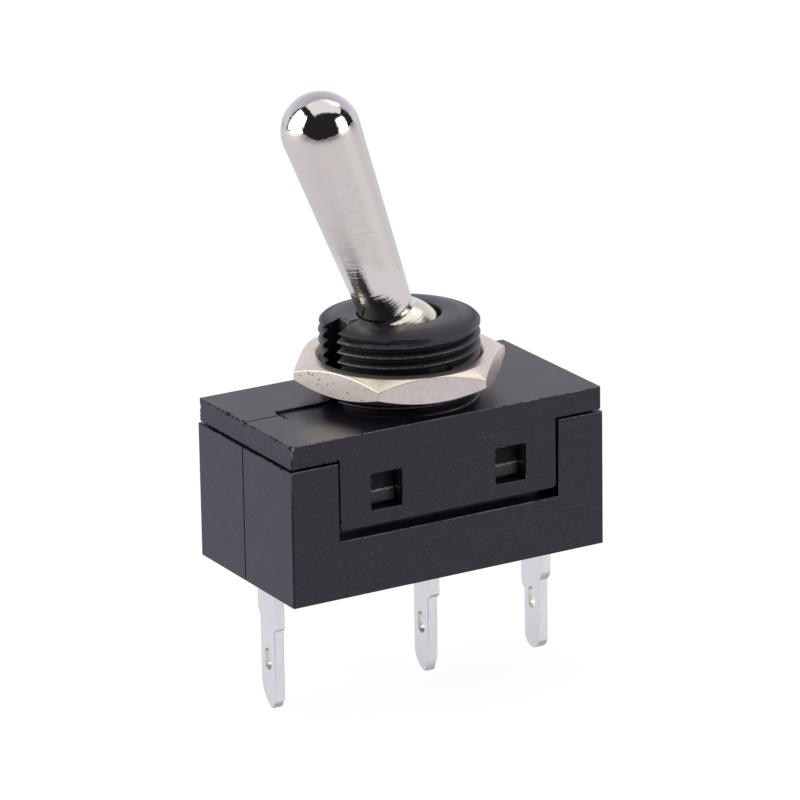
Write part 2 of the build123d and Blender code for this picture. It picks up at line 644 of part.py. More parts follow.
# Rocker contact
with BuildPart() as rocker_contact:
    with BuildSketch(rocker_section):
        with BuildLine() as strip:
            track = CenterArc(
                (0, track_centre_y),
                track_middle_radius,
                270 - track_half_angle,
                2 * track_half_angle,
            )
            wing_bend = JernArc(
                track @ 1,
                track % 1,
                ROCKER_BEND_RADIUS,
                -(track_half_angle - ROCKER_TILT),
            )
            wing = Line(
                wing_bend @ 1,
                (ROCKER_REACH, bend_end_y + (ROCKER_REACH - bend_end_x) * tan(tilt)),
            )
            mirror(wing_bend, about=Plane.YZ)
            mirror(wing, about=Plane.YZ)
        trace(line_width=ROCKER_THICKNESS)
    extrude(amount=ROCKER_WIDTH / 2, both=True)
    with BuildSketch(rocker_section):
        Rectangle(TAB_WIDTH, ROCKER_THICKNESS)
    extrude(amount=ROCKER_WIDTH / 2 + TAB_LENGTH, both=True)
    for side in (-1, 1):
        hole_plane = Plane(
            origin=rocker_section.from_local_coords(Vector(side * CONTACT_X, contact_y, 0)),
            x_dir=(0, 1, 0),
            z_dir=rocker_section.y_dir.rotate(Axis.Y, -side * ROCKER_TILT),
        )
        with BuildSketch(hole_plane):
            Circle(CONTACT_SHANK_RADIUS)
        extrude(amount=ROCKER_THICKNESS, both=True, mode=Mode.SUBTRACT)
rocker_contact.part.label = "rocker_contact"
export_step(rocker_contact.part, "parts/rocker_contact.step")

# Moving contacts, riveted through the rocker's ends
for contact_label, side in (("moving_contact_left", -1), ("moving_contact_right", 1)):
    wing_up = rocker_section.y_dir.rotate(Axis.Y, -side * ROCKER_TILT)
    wing_middle = rocker_section.from_local_coords(Vector(side * CONTACT_X, contact_y, 0))
    wing_face = Plane(
        origin=wing_middle - wing_up * (ROCKER_THICKNESS / 2),
        x_dir=wing_up,
        z_dir=(0, 1, 0),
    )
    moving_contact = make_contact(
        contact_label,
        wing_face,
        MOVING_CONTACT_HEIGHT,
        ROCKER_THICKNESS,
        CONTACT_CLINCH_HEIGHT,
    )
    export_step(moving_contact, f"parts/{contact_label}.step")

# Fixed contacts, riveted flush through the outer terminals' shelves
for contact_label, side in (("fixed_contact_left", -1), ("fixed_contact_right", 1)):
    shelf_face = Plane(
        origin=(side * FIXED_CONTACT_X, 0, SHELF_TOP),
        x_dir=(0, 0, -1),
        z_dir=(0, 1, 0),
    )
    fixed_contact = make_contact(
        contact_label,
        shelf_face,
        FIXED_CONTACT_HEIGHT,
        TERMINAL_THICKNESS,
        0,
    )
    export_step(fixed_contact, f"parts/{contact_label}.step")

# Terminals
shelf_inner_end = FIXED_CONTACT_X - CONTACT_RADIUS - TERMINAL_THICKNESS / 2
terminal_left = make_terminal(
    "terminal_left",
    LEFT_TERMINAL_X,
    front=(LEFT_FRONT_SHOULDER, LEFT_FRONT_SHOULDER_END, LEFT_FRONT_SHOULDER_CURVE),
    back=(LEFT_BACK_SHOULDER, LEFT_BACK_SHOULDER_END, LEFT_BACK_SHOULDER_CURVE),
    tip=(TERMINAL_DEPTH, LEFT_TIP_CHAMFER_HEIGHT, LEFT_TIP_CURVE_HEIGHT),
    eye_above_tip=LEFT_EYE_ABOVE_TIP,
    shelf=(-shelf_inner_end, SHELF_TOP),
    rivet=(-FIXED_CONTACT_X, CONTACT_SHANK_RADIUS),
)
export_step(terminal_left, "parts/terminal_left.step")
terminal_centre = make_terminal(
    "terminal_centre",
    CENTRE_TERMINAL_X,
    front=(CENTRE_FRONT_SHOULDER, CENTRE_FRONT_SHOULDER_END, CENTRE_FRONT_SHOULDER_CURVE),
    back=(BLADE_WIDTH / 2, 0, 0),
    tip=(
        TERMINAL_DEPTH - CENTRE_TIP_SHORTER,
        CENTRE_TIP_CHAMFER_HEIGHT,
        CENTRE_TIP_CURVE_HEIGHT,
    ),
    eye_above_tip=CENTRE_EYE_ABOVE_TIP,
    shelf=(-SADDLE_LENGTH / 2, CENTRE_SHELF_TOP),
    rivet=(0, RIVET_RADIUS + PRESS_CLEARANCE),
)
export_step(terminal_centre, "parts/terminal_centre.step")
terminal_right = make_terminal(
    "terminal_right",
    RIGHT_TERMINAL_X,
    front=(RIGHT_FRONT_SHOULDER, RIGHT_FRONT_SHOULDER_END, RIGHT_FRONT_SHOULDER_CURVE),
    back=(RIGHT_BACK_SHOULDER, RIGHT_BACK_SHOULDER_END, RIGHT_BACK_SHOULDER_CURVE),
    tip=(TERMINAL_DEPTH - RIGHT_TIP_SHORTER, 0, RIGHT_TIP_ROUND_HEIGHT),
    eye_above_tip=RIGHT_EYE_ABOVE_TIP,
    shelf=(shelf_inner_end, SHELF_TOP),
    rivet=(FIXED_CONTACT_X, CONTACT_SHANK_RADIUS),
)
export_step(terminal_right, "parts/terminal_right.step")

# Saddle: a folded cradle whose two notched ears carry the rocker's tabs
with BuildPart() as centre_saddle:
    ear_inner = ROCKER_WIDTH / 2 + RIM_CLEARANCE
    ear_outer = ear_inner + SADDLE_THICKNESS
    saddle_top = CENTRE_SHELF_TOP + SADDLE_THICKNESS
    ear_top = -ROCKER_PIVOT_DEPTH + EAR_RISE
    saddle_length = CENTRE_TERMINAL_X - TERMINAL_THICKNESS / 2 + SADDLE_LENGTH / 2
    with BuildSketch(Plane.XY.offset(CENTRE_SHELF_TOP)):
        with Locations((saddle_length / 2 - SADDLE_LENGTH / 2, 0)):
            Rectangle(saddle_length, 2 * ear_outer)
        Circle(RIVET_RADIUS + PRESS_CLEARANCE, mode=Mode.SUBTRACT)
    extrude(amount=SADDLE_THICKNESS)
    for ear_side in (-1, 1):
        with BuildSketch(Plane.XZ.offset(ear_side * ear_outer)) as ear:
            with Locations((0, (CENTRE_SHELF_TOP + ear_top) / 2)):
                Rectangle(EAR_LENGTH, ear_top - CENTRE_SHELF_TOP)
            notch_radius = hypot(TAB_WIDTH, ROCKER_THICKNESS) / 2 + NOTCH_CLEARANCE
            with Locations((0, -ROCKER_PIVOT_DEPTH)):
                Circle(notch_radius, mode=Mode.SUBTRACT)
            with Locations((0, -ROCKER_PIVOT_DEPTH + EAR_RISE / 2)):
                Rectangle(2 * notch_radius, EAR_RISE, mode=Mode.SUBTRACT)
        extrude(amount=-ear_side * SADDLE_THICKNESS)
    folds = centre_saddle.edges().filter_by(Axis.X).group_by(Axis.Z)[0]
    fillet(folds, SADDLE_THICKNESS / 2)
centre_saddle.part.label = "centre_saddle"
export_step(centre_saddle.part, "parts/centre_saddle.step")

# Saddle rivet, through the saddle and the centre terminal's shelf
with BuildPart() as saddle_rivet:
    grip = SADDLE_THICKNESS + TERMINAL_THICKNESS
    with BuildSketch(Plane.XZ):
        with BuildLine():
            Polyline(
                (0, saddle_top + RIVET_HEAD_HEIGHT),
                (RIVET_RADIUS, saddle_top + RIVET_HEAD_HEIGHT),
                (RIVET_HEAD_RADIUS, saddle_top),
                (RIVET_RADIUS, saddle_top),
                (RIVET_RADIUS, saddle_top - grip),
                (RIVET_HEAD_RADIUS, saddle_top - grip),
                (RIVET_HEAD_RADIUS, saddle_top - grip - RIVET_HEAD_HEIGHT),
                (0, saddle_top - grip - RIVET_HEAD_HEIGHT),
                close=True,
            )
        make_face()
    revolve(axis=Axis.Z)
saddle_rivet.part.label = "saddle_rivet"
export_step(saddle_rivet.part, "parts/saddle_rivet.step")
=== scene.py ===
# %% [markdown]
# This lesson dresses a panel toggle switch. The solids come from the frame: pieces at
# their real size, in one shared place, with the bodies that move. Here each piece gets
# the shape detail and the finish that a camera sees, and none of them changes size.
# The frame is loaded first, because every piece below is fitted to it.

# %% Load the frame
import json
from math import atan2, cos, degrees, pi, radians, sin, tan
import random

import bmesh
import bpy
from mathutils import Euler, Matrix, Vector

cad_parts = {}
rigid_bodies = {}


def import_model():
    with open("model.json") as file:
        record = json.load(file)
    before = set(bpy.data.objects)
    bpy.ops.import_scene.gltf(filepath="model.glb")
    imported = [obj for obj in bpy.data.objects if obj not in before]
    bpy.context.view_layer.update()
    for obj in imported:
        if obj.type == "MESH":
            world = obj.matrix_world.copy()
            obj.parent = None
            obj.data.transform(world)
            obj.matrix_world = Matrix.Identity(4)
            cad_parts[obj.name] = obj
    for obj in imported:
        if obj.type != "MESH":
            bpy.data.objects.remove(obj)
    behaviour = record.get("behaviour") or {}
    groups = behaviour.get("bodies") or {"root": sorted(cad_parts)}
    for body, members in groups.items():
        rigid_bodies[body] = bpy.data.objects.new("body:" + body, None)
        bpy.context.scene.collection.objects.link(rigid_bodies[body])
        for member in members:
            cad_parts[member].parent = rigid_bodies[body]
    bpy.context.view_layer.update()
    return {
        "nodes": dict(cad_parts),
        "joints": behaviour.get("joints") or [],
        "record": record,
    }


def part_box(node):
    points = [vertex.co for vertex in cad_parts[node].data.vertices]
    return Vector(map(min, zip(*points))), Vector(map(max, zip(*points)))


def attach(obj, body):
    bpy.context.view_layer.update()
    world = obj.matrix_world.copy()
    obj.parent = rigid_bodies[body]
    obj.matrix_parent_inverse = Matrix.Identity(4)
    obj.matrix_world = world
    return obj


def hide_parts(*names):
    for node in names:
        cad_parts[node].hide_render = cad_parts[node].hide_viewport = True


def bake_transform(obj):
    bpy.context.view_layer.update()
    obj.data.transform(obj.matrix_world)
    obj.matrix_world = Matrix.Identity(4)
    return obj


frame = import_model()
print("nodes:", len(frame["nodes"]))

# %% [markdown]
# The switch is 26 mm long, and Blender works in metres. Tiny numbers are hard to read and
# can upset the modelling tools, so every piece is shaped in millimetres on a bench of its
# own and brought down to metres at the very end. A piece's shape on the bench is called
# its skin here. Short helpers move, stretch and turn a whole skin, and put it in an
# object of the scene.

# %% Millimetres
MM = 0.001


def node_box(name):
    """The lowest and highest corner of a solid, in millimetres."""
    low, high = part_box(name)
    return low / MM, high / MM


def shift(skin, by):
    """Move a whole skin."""
    bmesh.ops.translate(skin, vec=by, verts=skin.verts)


def resize(skin, by):
    """Stretch a whole skin along x, y and z."""
    bmesh.ops.scale(skin, vec=by, verts=skin.verts)


def turn_about(skin, angle, axis):
    """Turn a whole skin about an axis through the origin."""
    bmesh.ops.rotate(skin, matrix=Matrix.Rotation(angle, 3, axis), verts=skin.verts)


def add_object(name, data):
    """A new object in the scene."""
    added = bpy.data.objects.new(name, data)
    bpy.context.scene.collection.objects.link(added)
    return added


def skin_object(name, skin):
    """A new object in the scene that takes over a skin."""
    mesh = bpy.data.meshes.new(name)
    skin.to_mesh(mesh)
    skin.free()
    return add_object(name, mesh)


cover_low, cover_high = node_box("cover_housing")
base_low, base_high = node_box("base_housing")
nut_low, nut_high = node_box("mounting_nut")
print("cover", [round(v, 2) for v in cover_high - cover_low])
print("base", [round(v, 2) for v in base_high - base_low])

# %% [markdown]
# The camera stands a long way off with a long lens, as a product photographer does, so
# the box's edges stay nearly parallel. Its place is worked out from an azimuth, an
# elevation and a small roll. The object's origin lies almost in the middle of the
# picture, so the camera is only moved sideways a little, and its lens isn't shifted.

# %% Camera
CAMERA_AZIMUTH = radians(-30.066)
CAMERA_ELEVATION = radians(18.094)
CAMERA_ROLL = radians(-0.948)
CAMERA_DISTANCE = 391.175
CAMERA_ASIDE = 0.018
CAMERA_DROP = 0.583
FOCAL_LENGTH_PIXELS = 5372.74
PICTURE_PIXELS = 800
SENSOR = 36

back = Vector((
    sin(CAMERA_AZIMUTH) * cos(CAMERA_ELEVATION),
    -cos(CAMERA_AZIMUTH) * cos(CAMERA_ELEVATION),
    sin(CAMERA_ELEVATION),
))
level_right = Vector((cos(CAMERA_AZIMUTH), sin(CAMERA_AZIMUTH), 0))
level_up = back.cross(level_right)
camera_right = cos(CAMERA_ROLL) * level_right + sin(CAMERA_ROLL) * level_up
camera_up = cos(CAMERA_ROLL) * level_up - sin(CAMERA_ROLL) * level_right
camera_place = CAMERA_DISTANCE * back - CAMERA_ASIDE * camera_right - CAMERA_DROP * camera_up

lens = bpy.data.cameras.new("camera")
lens.sensor_width = SENSOR
lens.lens = SENSOR * FOCAL_LENGTH_PIXELS / PICTURE_PIXELS
camera = add_object("camera", lens)
turn = Matrix((camera_right, camera_up, back)).transposed()
camera.matrix_world = Matrix.Translation(camera_place * MM) @ turn.to_4x4()
bpy.context.scene.camera = camera
bpy.context.scene.view_settings.view_transform = "Standard"
print("lens", round(lens.lens, 1), "mm")

# %% [markdown]
# Finishes are written as sums. A Wire holds the output of one shader node, and the usual
# signs on it add Math nodes, so 1 - mask reads as it does on paper. A Recipe holds a node
# tree and adds any other node. It takes the node's settings first, because some of them
# change which sockets the node has.

# %% Wire and Recipe
class Wire:
    """One output of a node, with arithmetic."""

    def __init__(self, recipe, socket):
        self.recipe = recipe
        self.socket = socket

    def sum(self, operation, first, second=0.0):
        inputs = {0: first, 1: second}
        return self.recipe.node("ShaderNodeMath", {"operation": operation}, inputs)

    def __add__(self, other):
        return self.sum("ADD", self, other)

    __radd__ = __add__

    def __sub__(self, other):
        return self.sum("SUBTRACT", self, other)

    def __rsub__(self, other):
        return self.sum("SUBTRACT", other, self)

    def __mul__(self, other):
        return self.sum("MULTIPLY", self, other)

    __rmul__ = __mul__

    def __truediv__(self, other):
        return self.sum("DIVIDE", self, other)

    def __pow__(self, other):
        return self.sum("POWER", self, other)

    def __abs__(self):
        return self.sum("ABSOLUTE", self)

    def at_most(self, other):
        return self.sum("MINIMUM", self, other)

    def at_least(self, other):
        return self.sum("MAXIMUM", self, other)


class Recipe:
    """A node tree that is being written."""

    def __init__(self, tree):
        self.tree = tree

    def node(self, kind, settings=None, inputs=None, output=0):
        made = self.tree.nodes.new(kind)
        for name, value in (settings or {}).items():
            setattr(made, name, value)
        for name, value in (inputs or {}).items():
            if isinstance(value, Wire):
                self.tree.links.new(value.socket, made.inputs[name])
            else:
                made.inputs[name].default_value = value
        return Wire(self, made.outputs[output])

    def step(self, value, low, high):
        """0 below low, 1 above high and a smooth rise between them."""
        settings = {"interpolation_type": "SMOOTHSTEP"}
        inputs = {"Value": value, "From Min": low, "From Max": high}
        return self.node("ShaderNodeMapRange", settings, inputs)

    def band(self, value, low, high, soft):
        """1 between low and high and 0 outside, with soft edges."""
        rise = self.step(value, low - soft, low + soft)
        fall = self.step(value, high - soft, high + soft)
        return rise * (1 - fall)

    def mix(self, share, first, second):
        """A colour between two colours."""
        settings = {"data_type": "RGBA"}
        return self.node("ShaderNodeMix", settings, {0: share, 6: first, 7: second}, 2)

    def coats(self, tone, *layers):
        """A colour with others laid over it, each given as a share and a colour."""
        for share, colour in layers:
            tone = self.mix(share, tone, (*colour, 1))
        return tone

    def surface(self, wire, output):
        """Link a wire to the tree's output."""
        self.tree.links.new(wire.socket, self.tree.nodes[output].inputs["Surface"])

    def parts(self, vector):
        """The x, y and z of a vector."""
        first = self.node("ShaderNodeSeparateXYZ", {}, {0: vector})
        outputs = first.socket.node.outputs
        return [Wire(self, outputs[index]) for index in range(3)]


print("Wire and Recipe are ready")

# %% [markdown]
# Metal shows the room it stands in. This switch was lit in a dark room with a pale
# backdrop behind it, a large soft lamp above and two bright panels at the sides. The
# world is painted by direction: pale behind the object, dark on the photographer's side.
# What the camera itself sees past the object is plain white. Working by direction keeps
# that room in place for every other view, where a real black wall would stand in the way.

# %% World
WORLD_BACKDROP_LOW = (0.92, 0.885, 1.0, 1)
WORLD_BACKDROP_HIGH = (0.74, 0.71, 0.82, 1)
WORLD_HIGH_BAND = (0.66, 0.62, 0.65, 1)
WORLD_ROOM = (0.026, 0.025, 0.031, 1)
BACKDROP_FADE_FROM = radians(8)
BACKDROP_FADE_TO = radians(33)
BACKDROP_AZIMUTH = radians(151)
BACKDROP_HALF_WIDTH = radians(63)
BACKDROP_TOP = radians(45)
BACKDROP_SIDE_BLUR = 0.03
HIGH_BAND_TOP = radians(66)
TOP_BLUR = 0.02

world = bpy.data.worlds.new("studio")
bpy.context.scene.world = world
world.use_nodes = True
sky = Recipe(world.node_tree)
direction = sky.node("ShaderNodeTexCoord", {}, {}, "Generated")
toward_x, toward_y, toward_z = sky.parts(direction)
flat = (1 - toward_z * toward_z).at_least(0.0001) ** 0.5
behind = (toward_x * sin(BACKDROP_AZIMUTH) - toward_y * cos(BACKDROP_AZIMUTH)) / flat


def past(value, border, blur):
    """0 before a border, 1 past it, and a blur across it."""
    return sky.step(value, border - blur, border + blur)


in_width = past(behind, cos(BACKDROP_HALF_WIDTH), BACKDROP_SIDE_BLUR)
above_backdrop = past(toward_z, sin(BACKDROP_TOP), TOP_BLUR)
above_band = past(toward_z, sin(HIGH_BAND_TOP), TOP_BLUR)
climb = sky.step(toward_z, sin(BACKDROP_FADE_FROM), sin(BACKDROP_FADE_TO))
wall_colour = sky.mix(climb, WORLD_BACKDROP_LOW, WORLD_BACKDROP_HIGH)
wall_colour = sky.mix(above_backdrop, wall_colour, WORLD_HIGH_BAND)
wall_colour = sky.mix(above_band, wall_colour, WORLD_ROOM)
room_colour = sky.mix(in_width, WORLD_ROOM, wall_colour)
camera_ray = sky.node("ShaderNodeLightPath", {}, {}, "Is Camera Ray")
seen_colour = sky.mix(camera_ray, room_colour, (1, 1, 1, 1))
glow = sky.node("ShaderNodeBackground", {}, {"Color": seen_colour, "Strength": 1.0})
sky.surface(glow, "World Output")
print("world painted")

# %% [markdown]
# Three rectangles give the light. Each is described as the photographer would place it:
# where it stands seen from the object, how far away, how wide and tall, and how bright
# its face is. An area lamp's power is that brightness times its area times pi.

# %% Lamps
def add_panel(name, place, right, up, brightness, colour):
    """An area lamp that faces the object, with half sizes right and up in millimetres."""
    lamp = bpy.data.lights.new(name, "AREA")
    lamp.shape = "RECTANGLE"
    lamp.size = 2 * right.length * MM
    lamp.size_y = 2 * up.length * MM
    lamp.energy = brightness * pi * lamp.size * lamp.size_y
    lamp.color = colour
    panel = add_object(name, lamp)
    x_axis = right.normalized()
    z_axis = x_axis.cross(up).normalized()
    if z_axis.dot(place) < 0:
        x_axis.negate()
        z_axis.negate()
    y_axis = z_axis.cross(x_axis)
    panel.matrix_world = (
        Matrix.Translation(place * MM)
        @ Matrix((x_axis, y_axis, z_axis)).transposed().to_4x4()
    )
    panel.visible_camera = False


def add_side_panel(name, azimuths, elevations, distance, brightness):
    """A panel that fills a range of azimuth and elevation in degrees, seen from the object."""
    middle = radians(sum(azimuths) / 2)
    outward = Vector((sin(middle), -cos(middle), 0))
    half_width = distance * tan(radians(azimuths[1] - azimuths[0]) / 2)
    low, high = (distance * tan(radians(angle)) for angle in elevations)
    place = distance * outward + Vector((0, 0, (low + high) / 2))
    right = half_width * Vector((cos(middle), sin(middle), 0))
    up = Vector((0, 0, (high - low) / 2))
    add_panel(name, place, right, up, brightness, WHITE)


WHITE = (1, 1, 1)
PANEL_DISTANCE = 520
SOFTBOX_HEIGHT = 500
SOFTBOX_CENTRE = Vector((0.245, -0.05, 1))
SOFTBOX_LONG = Vector((0.72, -0.13, 0))
SOFTBOX_SHORT = Vector((0.08, 0.41, 0))
SOFTBOX_BRIGHTNESS = 1.12
SOFTBOX_COLOUR = (1, 0.975, 0.99)

softbox = [SOFTBOX_HEIGHT * v for v in (SOFTBOX_CENTRE, SOFTBOX_LONG, SOFTBOX_SHORT)]
add_panel("softbox", *softbox, SOFTBOX_BRIGHTNESS, SOFTBOX_COLOUR)
add_side_panel("left_panel", (-137, -86), (2, 48), PANEL_DISTANCE, 3.4)
add_side_panel("right_panel", (25, 58), (4, 40), PANEL_DISTANCE, 3.2)
print("three lamps")

# %% [markdown]
# The floor is a plain pale sheet just under the terminals. It ends a hand's width in
# front of the switch, where the dark room begins, and runs far back. Three kinds of ray
# meet it. The camera's find it almost white, with a little true shading that keeps the
# object's soft shadow. Those that come off metal and plastic find it pale and slightly
# cool, and all others find an ordinary matt sheet that passes the lamps' light on.

# %% Floor
FLOOR_BELOW = 0.04
FLOOR_FRONT = 150
FLOOR_BACK = 900
FLOOR_SIDE = 900
FLOOR_SHEET = (0.84, 0.82, 0.90, 1)
FLOOR_SEEN_GLOW = 0.93
FLOOR_SEEN_SHEET = (0.12, 0.12, 0.12, 1)
FLOOR_MIRRORED_GLOW = (0.58, 0.555, 0.68, 1)
FLOOR_MIRRORED_SHEET = (0.27, 0.26, 0.30, 1)

floor_level = min(node_box(name)[0].z for name in frame["nodes"]) - FLOOR_BELOW
floor_mesh = bmesh.new()
bmesh.ops.create_grid(floor_mesh, x_segments=2, y_segments=2, size=1)
resize(floor_mesh, (FLOOR_SIDE, (FLOOR_FRONT + FLOOR_BACK) / 2, 1))
shift(floor_mesh, (0, (FLOOR_BACK - FLOOR_FRONT) / 2, floor_level))
turn_about(floor_mesh, CAMERA_AZIMUTH, "Z")
resize(floor_mesh, (MM, MM, MM))
floor = skin_object("floor", floor_mesh)
print("floor at", round(floor_level, 2), "mm")

# %% [markdown]
# The floor's finish mixes three surfaces by the kind of ray that meets it: the camera's
# own, those that come off gloss, and all the rest.

# %% Floor finish
floor_finish = bpy.data.materials.new("floor")
floor_finish.use_nodes = True
sheet = Recipe(floor_finish.node_tree)


def glowing_sheet(colour, glow):
    """A matt sheet of one colour with an even glow of another."""
    matt = sheet.node("ShaderNodeBsdfDiffuse", {}, {"Color": colour})
    if glow is None:
        return matt
    shine = sheet.node("ShaderNodeEmission", {}, {"Color": glow, "Strength": 1.0})
    return sheet.node("ShaderNodeAddShader", {}, {0: matt, 1: shine})


white_glow = (FLOOR_SEEN_GLOW, FLOOR_SEEN_GLOW, FLOOR_SEEN_GLOW, 1)
lit = glowing_sheet(FLOOR_SHEET, None)
mirrored = glowing_sheet(FLOOR_MIRRORED_SHEET, FLOOR_MIRRORED_GLOW)
seen = glowing_sheet(FLOOR_SEEN_SHEET, white_glow)
light_path = sheet.node("ShaderNodeLightPath")
ray_kinds = light_path.socket.node.outputs
camera_ray = Wire(sheet, ray_kinds["Is Camera Ray"])
glossy_ray = Wire(sheet, ray_kinds["Is Glossy Ray"])
mirror_ray = glossy_ray + Wire(sheet, ray_kinds["Is Transmission Ray"])
both = sheet.node("ShaderNodeMixShader", {}, {0: mirror_ray.at_most(1), 1: lit, 2: mirrored})
both = sheet.node("ShaderNodeMixShader", {}, {0: camera_ray, 1: both, 2: seen})
sheet.surface(both, "Material Output")
floor.data.materials.append(floor_finish)
print("floor finish", len(floor_finish.node_tree.nodes), "nodes")

# %% [markdown]
# Every finish starts the same way: a new material with one Principled shader, and the
# piece's own coordinates turned into millimetres, so that a grain of 8 means eight bumps
# to the millimetre. A Finish adds that start to a Recipe, with the few patterns that
# moulded plastic and plated metal share.

# %% Finish
finishes = {}


class Finish(Recipe):
    """A material with one Principled shader, read in millimetres."""

    def __init__(self, name, metallic, roughness):
        self.material = bpy.data.materials.new(name)
        finishes[name] = self.material
        self.material.use_nodes = True
        super().__init__(self.material.node_tree)
        self.shader = self.tree.nodes["Principled BSDF"]
        self.shader.inputs["Metallic"].default_value = metallic
        self.shader.inputs["Roughness"].default_value = roughness
        self.raw = self.node("ShaderNodeTexCoord", {}, {}, "Object")
        self.facing = self.node("ShaderNodeTexCoord", {}, {}, "Normal")
        self.place = self.turned((0, 0, 0), (0, 0, 0))

    def turned(self, middle, angles):
        """Millimetre coordinates measured from a point, along axes turned by angles."""
        settings = {"vector_type": "TEXTURE"}
        inputs = {
            "Vector": self.raw,
            "Location": Vector(middle) * MM,
            "Rotation": angles,
            "Scale": (MM, MM, MM),
        }
        return self.node("ShaderNodeMapping", settings, inputs)

    def stretched(self, vector, stretch):
        """The same place with its axes stretched, for streaks and turning marks."""
        return self.node("ShaderNodeMapping", {}, {"Vector": vector, "Scale": stretch})

    def noise(self, vector, per_mm, detail=2.0, sharp=0.5):
        inputs = {"Vector": vector, "Scale": per_mm, "Detail": detail, "Roughness": sharp}
        return self.node("ShaderNodeTexNoise", {}, inputs)

    def streaks(self, vector, stretch, per_mm, detail, sharp):
        """Noise on stretched axes."""
        return self.noise(self.stretched(vector, stretch), per_mm, detail, sharp)

    def cells(self, vector, per_mm):
        """The distance to the nearest of many scattered points, in cell sizes."""
        return self.node("ShaderNodeTexVoronoi", {}, {"Vector": vector, "Scale": per_mm})

    def bump(self, height, depth_mm, under=None):
        """A surface normal from a height, given the depth of a height of one."""
        inputs = {"Height": height, "Distance": depth_mm * MM, "Strength": 1.0}
        if under is not None:
            inputs["Normal"] = under
        return self.node("ShaderNodeBump", {}, inputs)

    def feed(self, **sockets):
        """Link wires to the Principled shader, or set values that are the same all over."""
        for name, value in sockets.items():
            socket = self.shader.inputs[name.replace("_", " ").title()]
            if isinstance(value, Wire):
                self.tree.links.new(value.socket, socket)
            else:
                socket.default_value = value


print("Finish is ready")

# %% [markdown]
# The housing is black thermoset plastic, moulded in a polished tool that has seen use.
# It is almost black by itself, and what shows is its sheen: pale where it mirrors the
# backdrop at a low angle, dark where it faces the room. So its colour is very dark and
# slightly blue, and most of the recipe is about gloss. Every face carries a fine grain.
# The front and back have level drag lines from the tool, and the ends of the cover are
# coarser. Edges that face up and to the front are paler, a painted highlight, and the
# other edges are rougher and darkened with painted shade. On the thread the crests carry
# a painted highlight and the grooves painted shade; the ridges of the snap bosses carry a
# painted highlight, and their ramps and the pits round the key groove painted shade. Such
# places are told apart by masks: numbers from 0 to 1, worked out from where a point lies
# and which way it faces.

# %% Places on the plastic
BUSHING_REACH = 6.0
THREAD_CREST = 5.86
THREAD_ROOT = 5.5
RIM_FROM = 5.1
BOSS_RIDGE_HEIGHT = -4.8
BOSS_FOOT_HEIGHT = -5.75
BOSS_ZONE_LENGTH = 7.0
BOSS_ZONE_WIDTH = 6.45
BOSS_ZONE_TOP = -3.0
PIT_X = -9.85
PIT_FRONT_Y = -1.07


def thread_places(plastic, x, y, z, face_z, grain, fine_grain):
    """Masks for the whole bushing, its crests that get a painted highlight and its grooves
    that get painted shade.
    """
    from_axis = (x * x + y * y) ** 0.5
    beside = plastic.step(from_axis, BUSHING_REACH, BUSHING_REACH + 0.1)
    below = 1 - plastic.step(z, -0.03, 0.03)
    on_bushing = 1 - beside.at_least(below)
    crest_highlight = plastic.step(from_axis, THREAD_CREST - 0.01, THREAD_CREST + 0.03) * on_bushing
    crest_highlight = crest_highlight * plastic.step(grain + fine_grain * 0.4, 0.55, 0.8)
    crest_highlight = crest_highlight * (1 - plastic.step(z, RIM_FROM, RIM_FROM + 0.1) * 0.7)
    groove = (1 - plastic.step(from_axis, THREAD_ROOT, THREAD_ROOT + 0.28)) * on_bushing
    groove = groove * (1 - plastic.step(abs(face_z), 0.9, 0.98))
    return on_bushing, crest_highlight, groove


def boss_places(plastic, x, y, z, grain, fine_grain):
    """Masks for the snap bosses, for the ridge of each, which gets a painted highlight, its
    foot, and its ramp, which gets painted shade.
    """
    in_length = 1 - plastic.step(abs(x), BOSS_ZONE_LENGTH, BOSS_ZONE_LENGTH + 0.1)
    in_width = 1 - plastic.step(abs(y), BOSS_ZONE_WIDTH, BOSS_ZONE_WIDTH + 0.1)
    below_top = 1 - plastic.step(z, BOSS_ZONE_TOP, BOSS_ZONE_TOP + 0.1)
    near_boss = in_length * in_width * below_top
    ragged = (grain - 0.5) * 0.25 + (fine_grain - 0.5) * 0.1
    ridge_highlight = plastic.band(z + ragged, BOSS_RIDGE_HEIGHT - 0.04, BOSS_RIDGE_HEIGHT + 0.08, 0.02)
    ridge_highlight = ridge_highlight * near_boss * plastic.step(fine_grain, 0.4, 0.52)
    foot = plastic.band(z, BOSS_FOOT_HEIGHT, BOSS_RIDGE_HEIGHT, 0.03) * near_boss
    ramp = plastic.step(z, BOSS_RIDGE_HEIGHT + 0.05, BOSS_RIDGE_HEIGHT + 0.12) * near_boss
    return near_boss, ridge_highlight, foot, ramp


def pit_places(plastic, x, y, z):
    """A mask for the two deep breaks round the end of the key groove, which get painted shade.
    """
    across_end = 1 - plastic.step(abs(x - PIT_X), 0.2, 0.24)
    across_end = across_end * (1 - plastic.step(abs(y), 1.3, 1.35))
    along_front = 1 - plastic.step(abs(y - PIT_FRONT_Y), 0.17, 0.2)
    along_front = along_front * plastic.band(x, PIT_X - 0.1, PIT_X + 1.3, 0.03)
    return across_end.at_least(along_front) * plastic.band(z, -0.8, -0.03, 0.015)


print("places on the plastic ready")

# %% [markdown]
# The recipe itself first reads where it is and which way it faces, then builds the
# grain, the colour, the gloss and at last the height for the bump. The order of the
# colours matters, because each mix lays one more thing over the tone before it.

# %% Black plastic
COVER_UNDERSIDE = -1.8
# The dust tone also serves as the painted highlight on edges that face up and to the front.
DUST_AND_EDGE_HIGHLIGHT = (0.34, 0.33, 0.30)


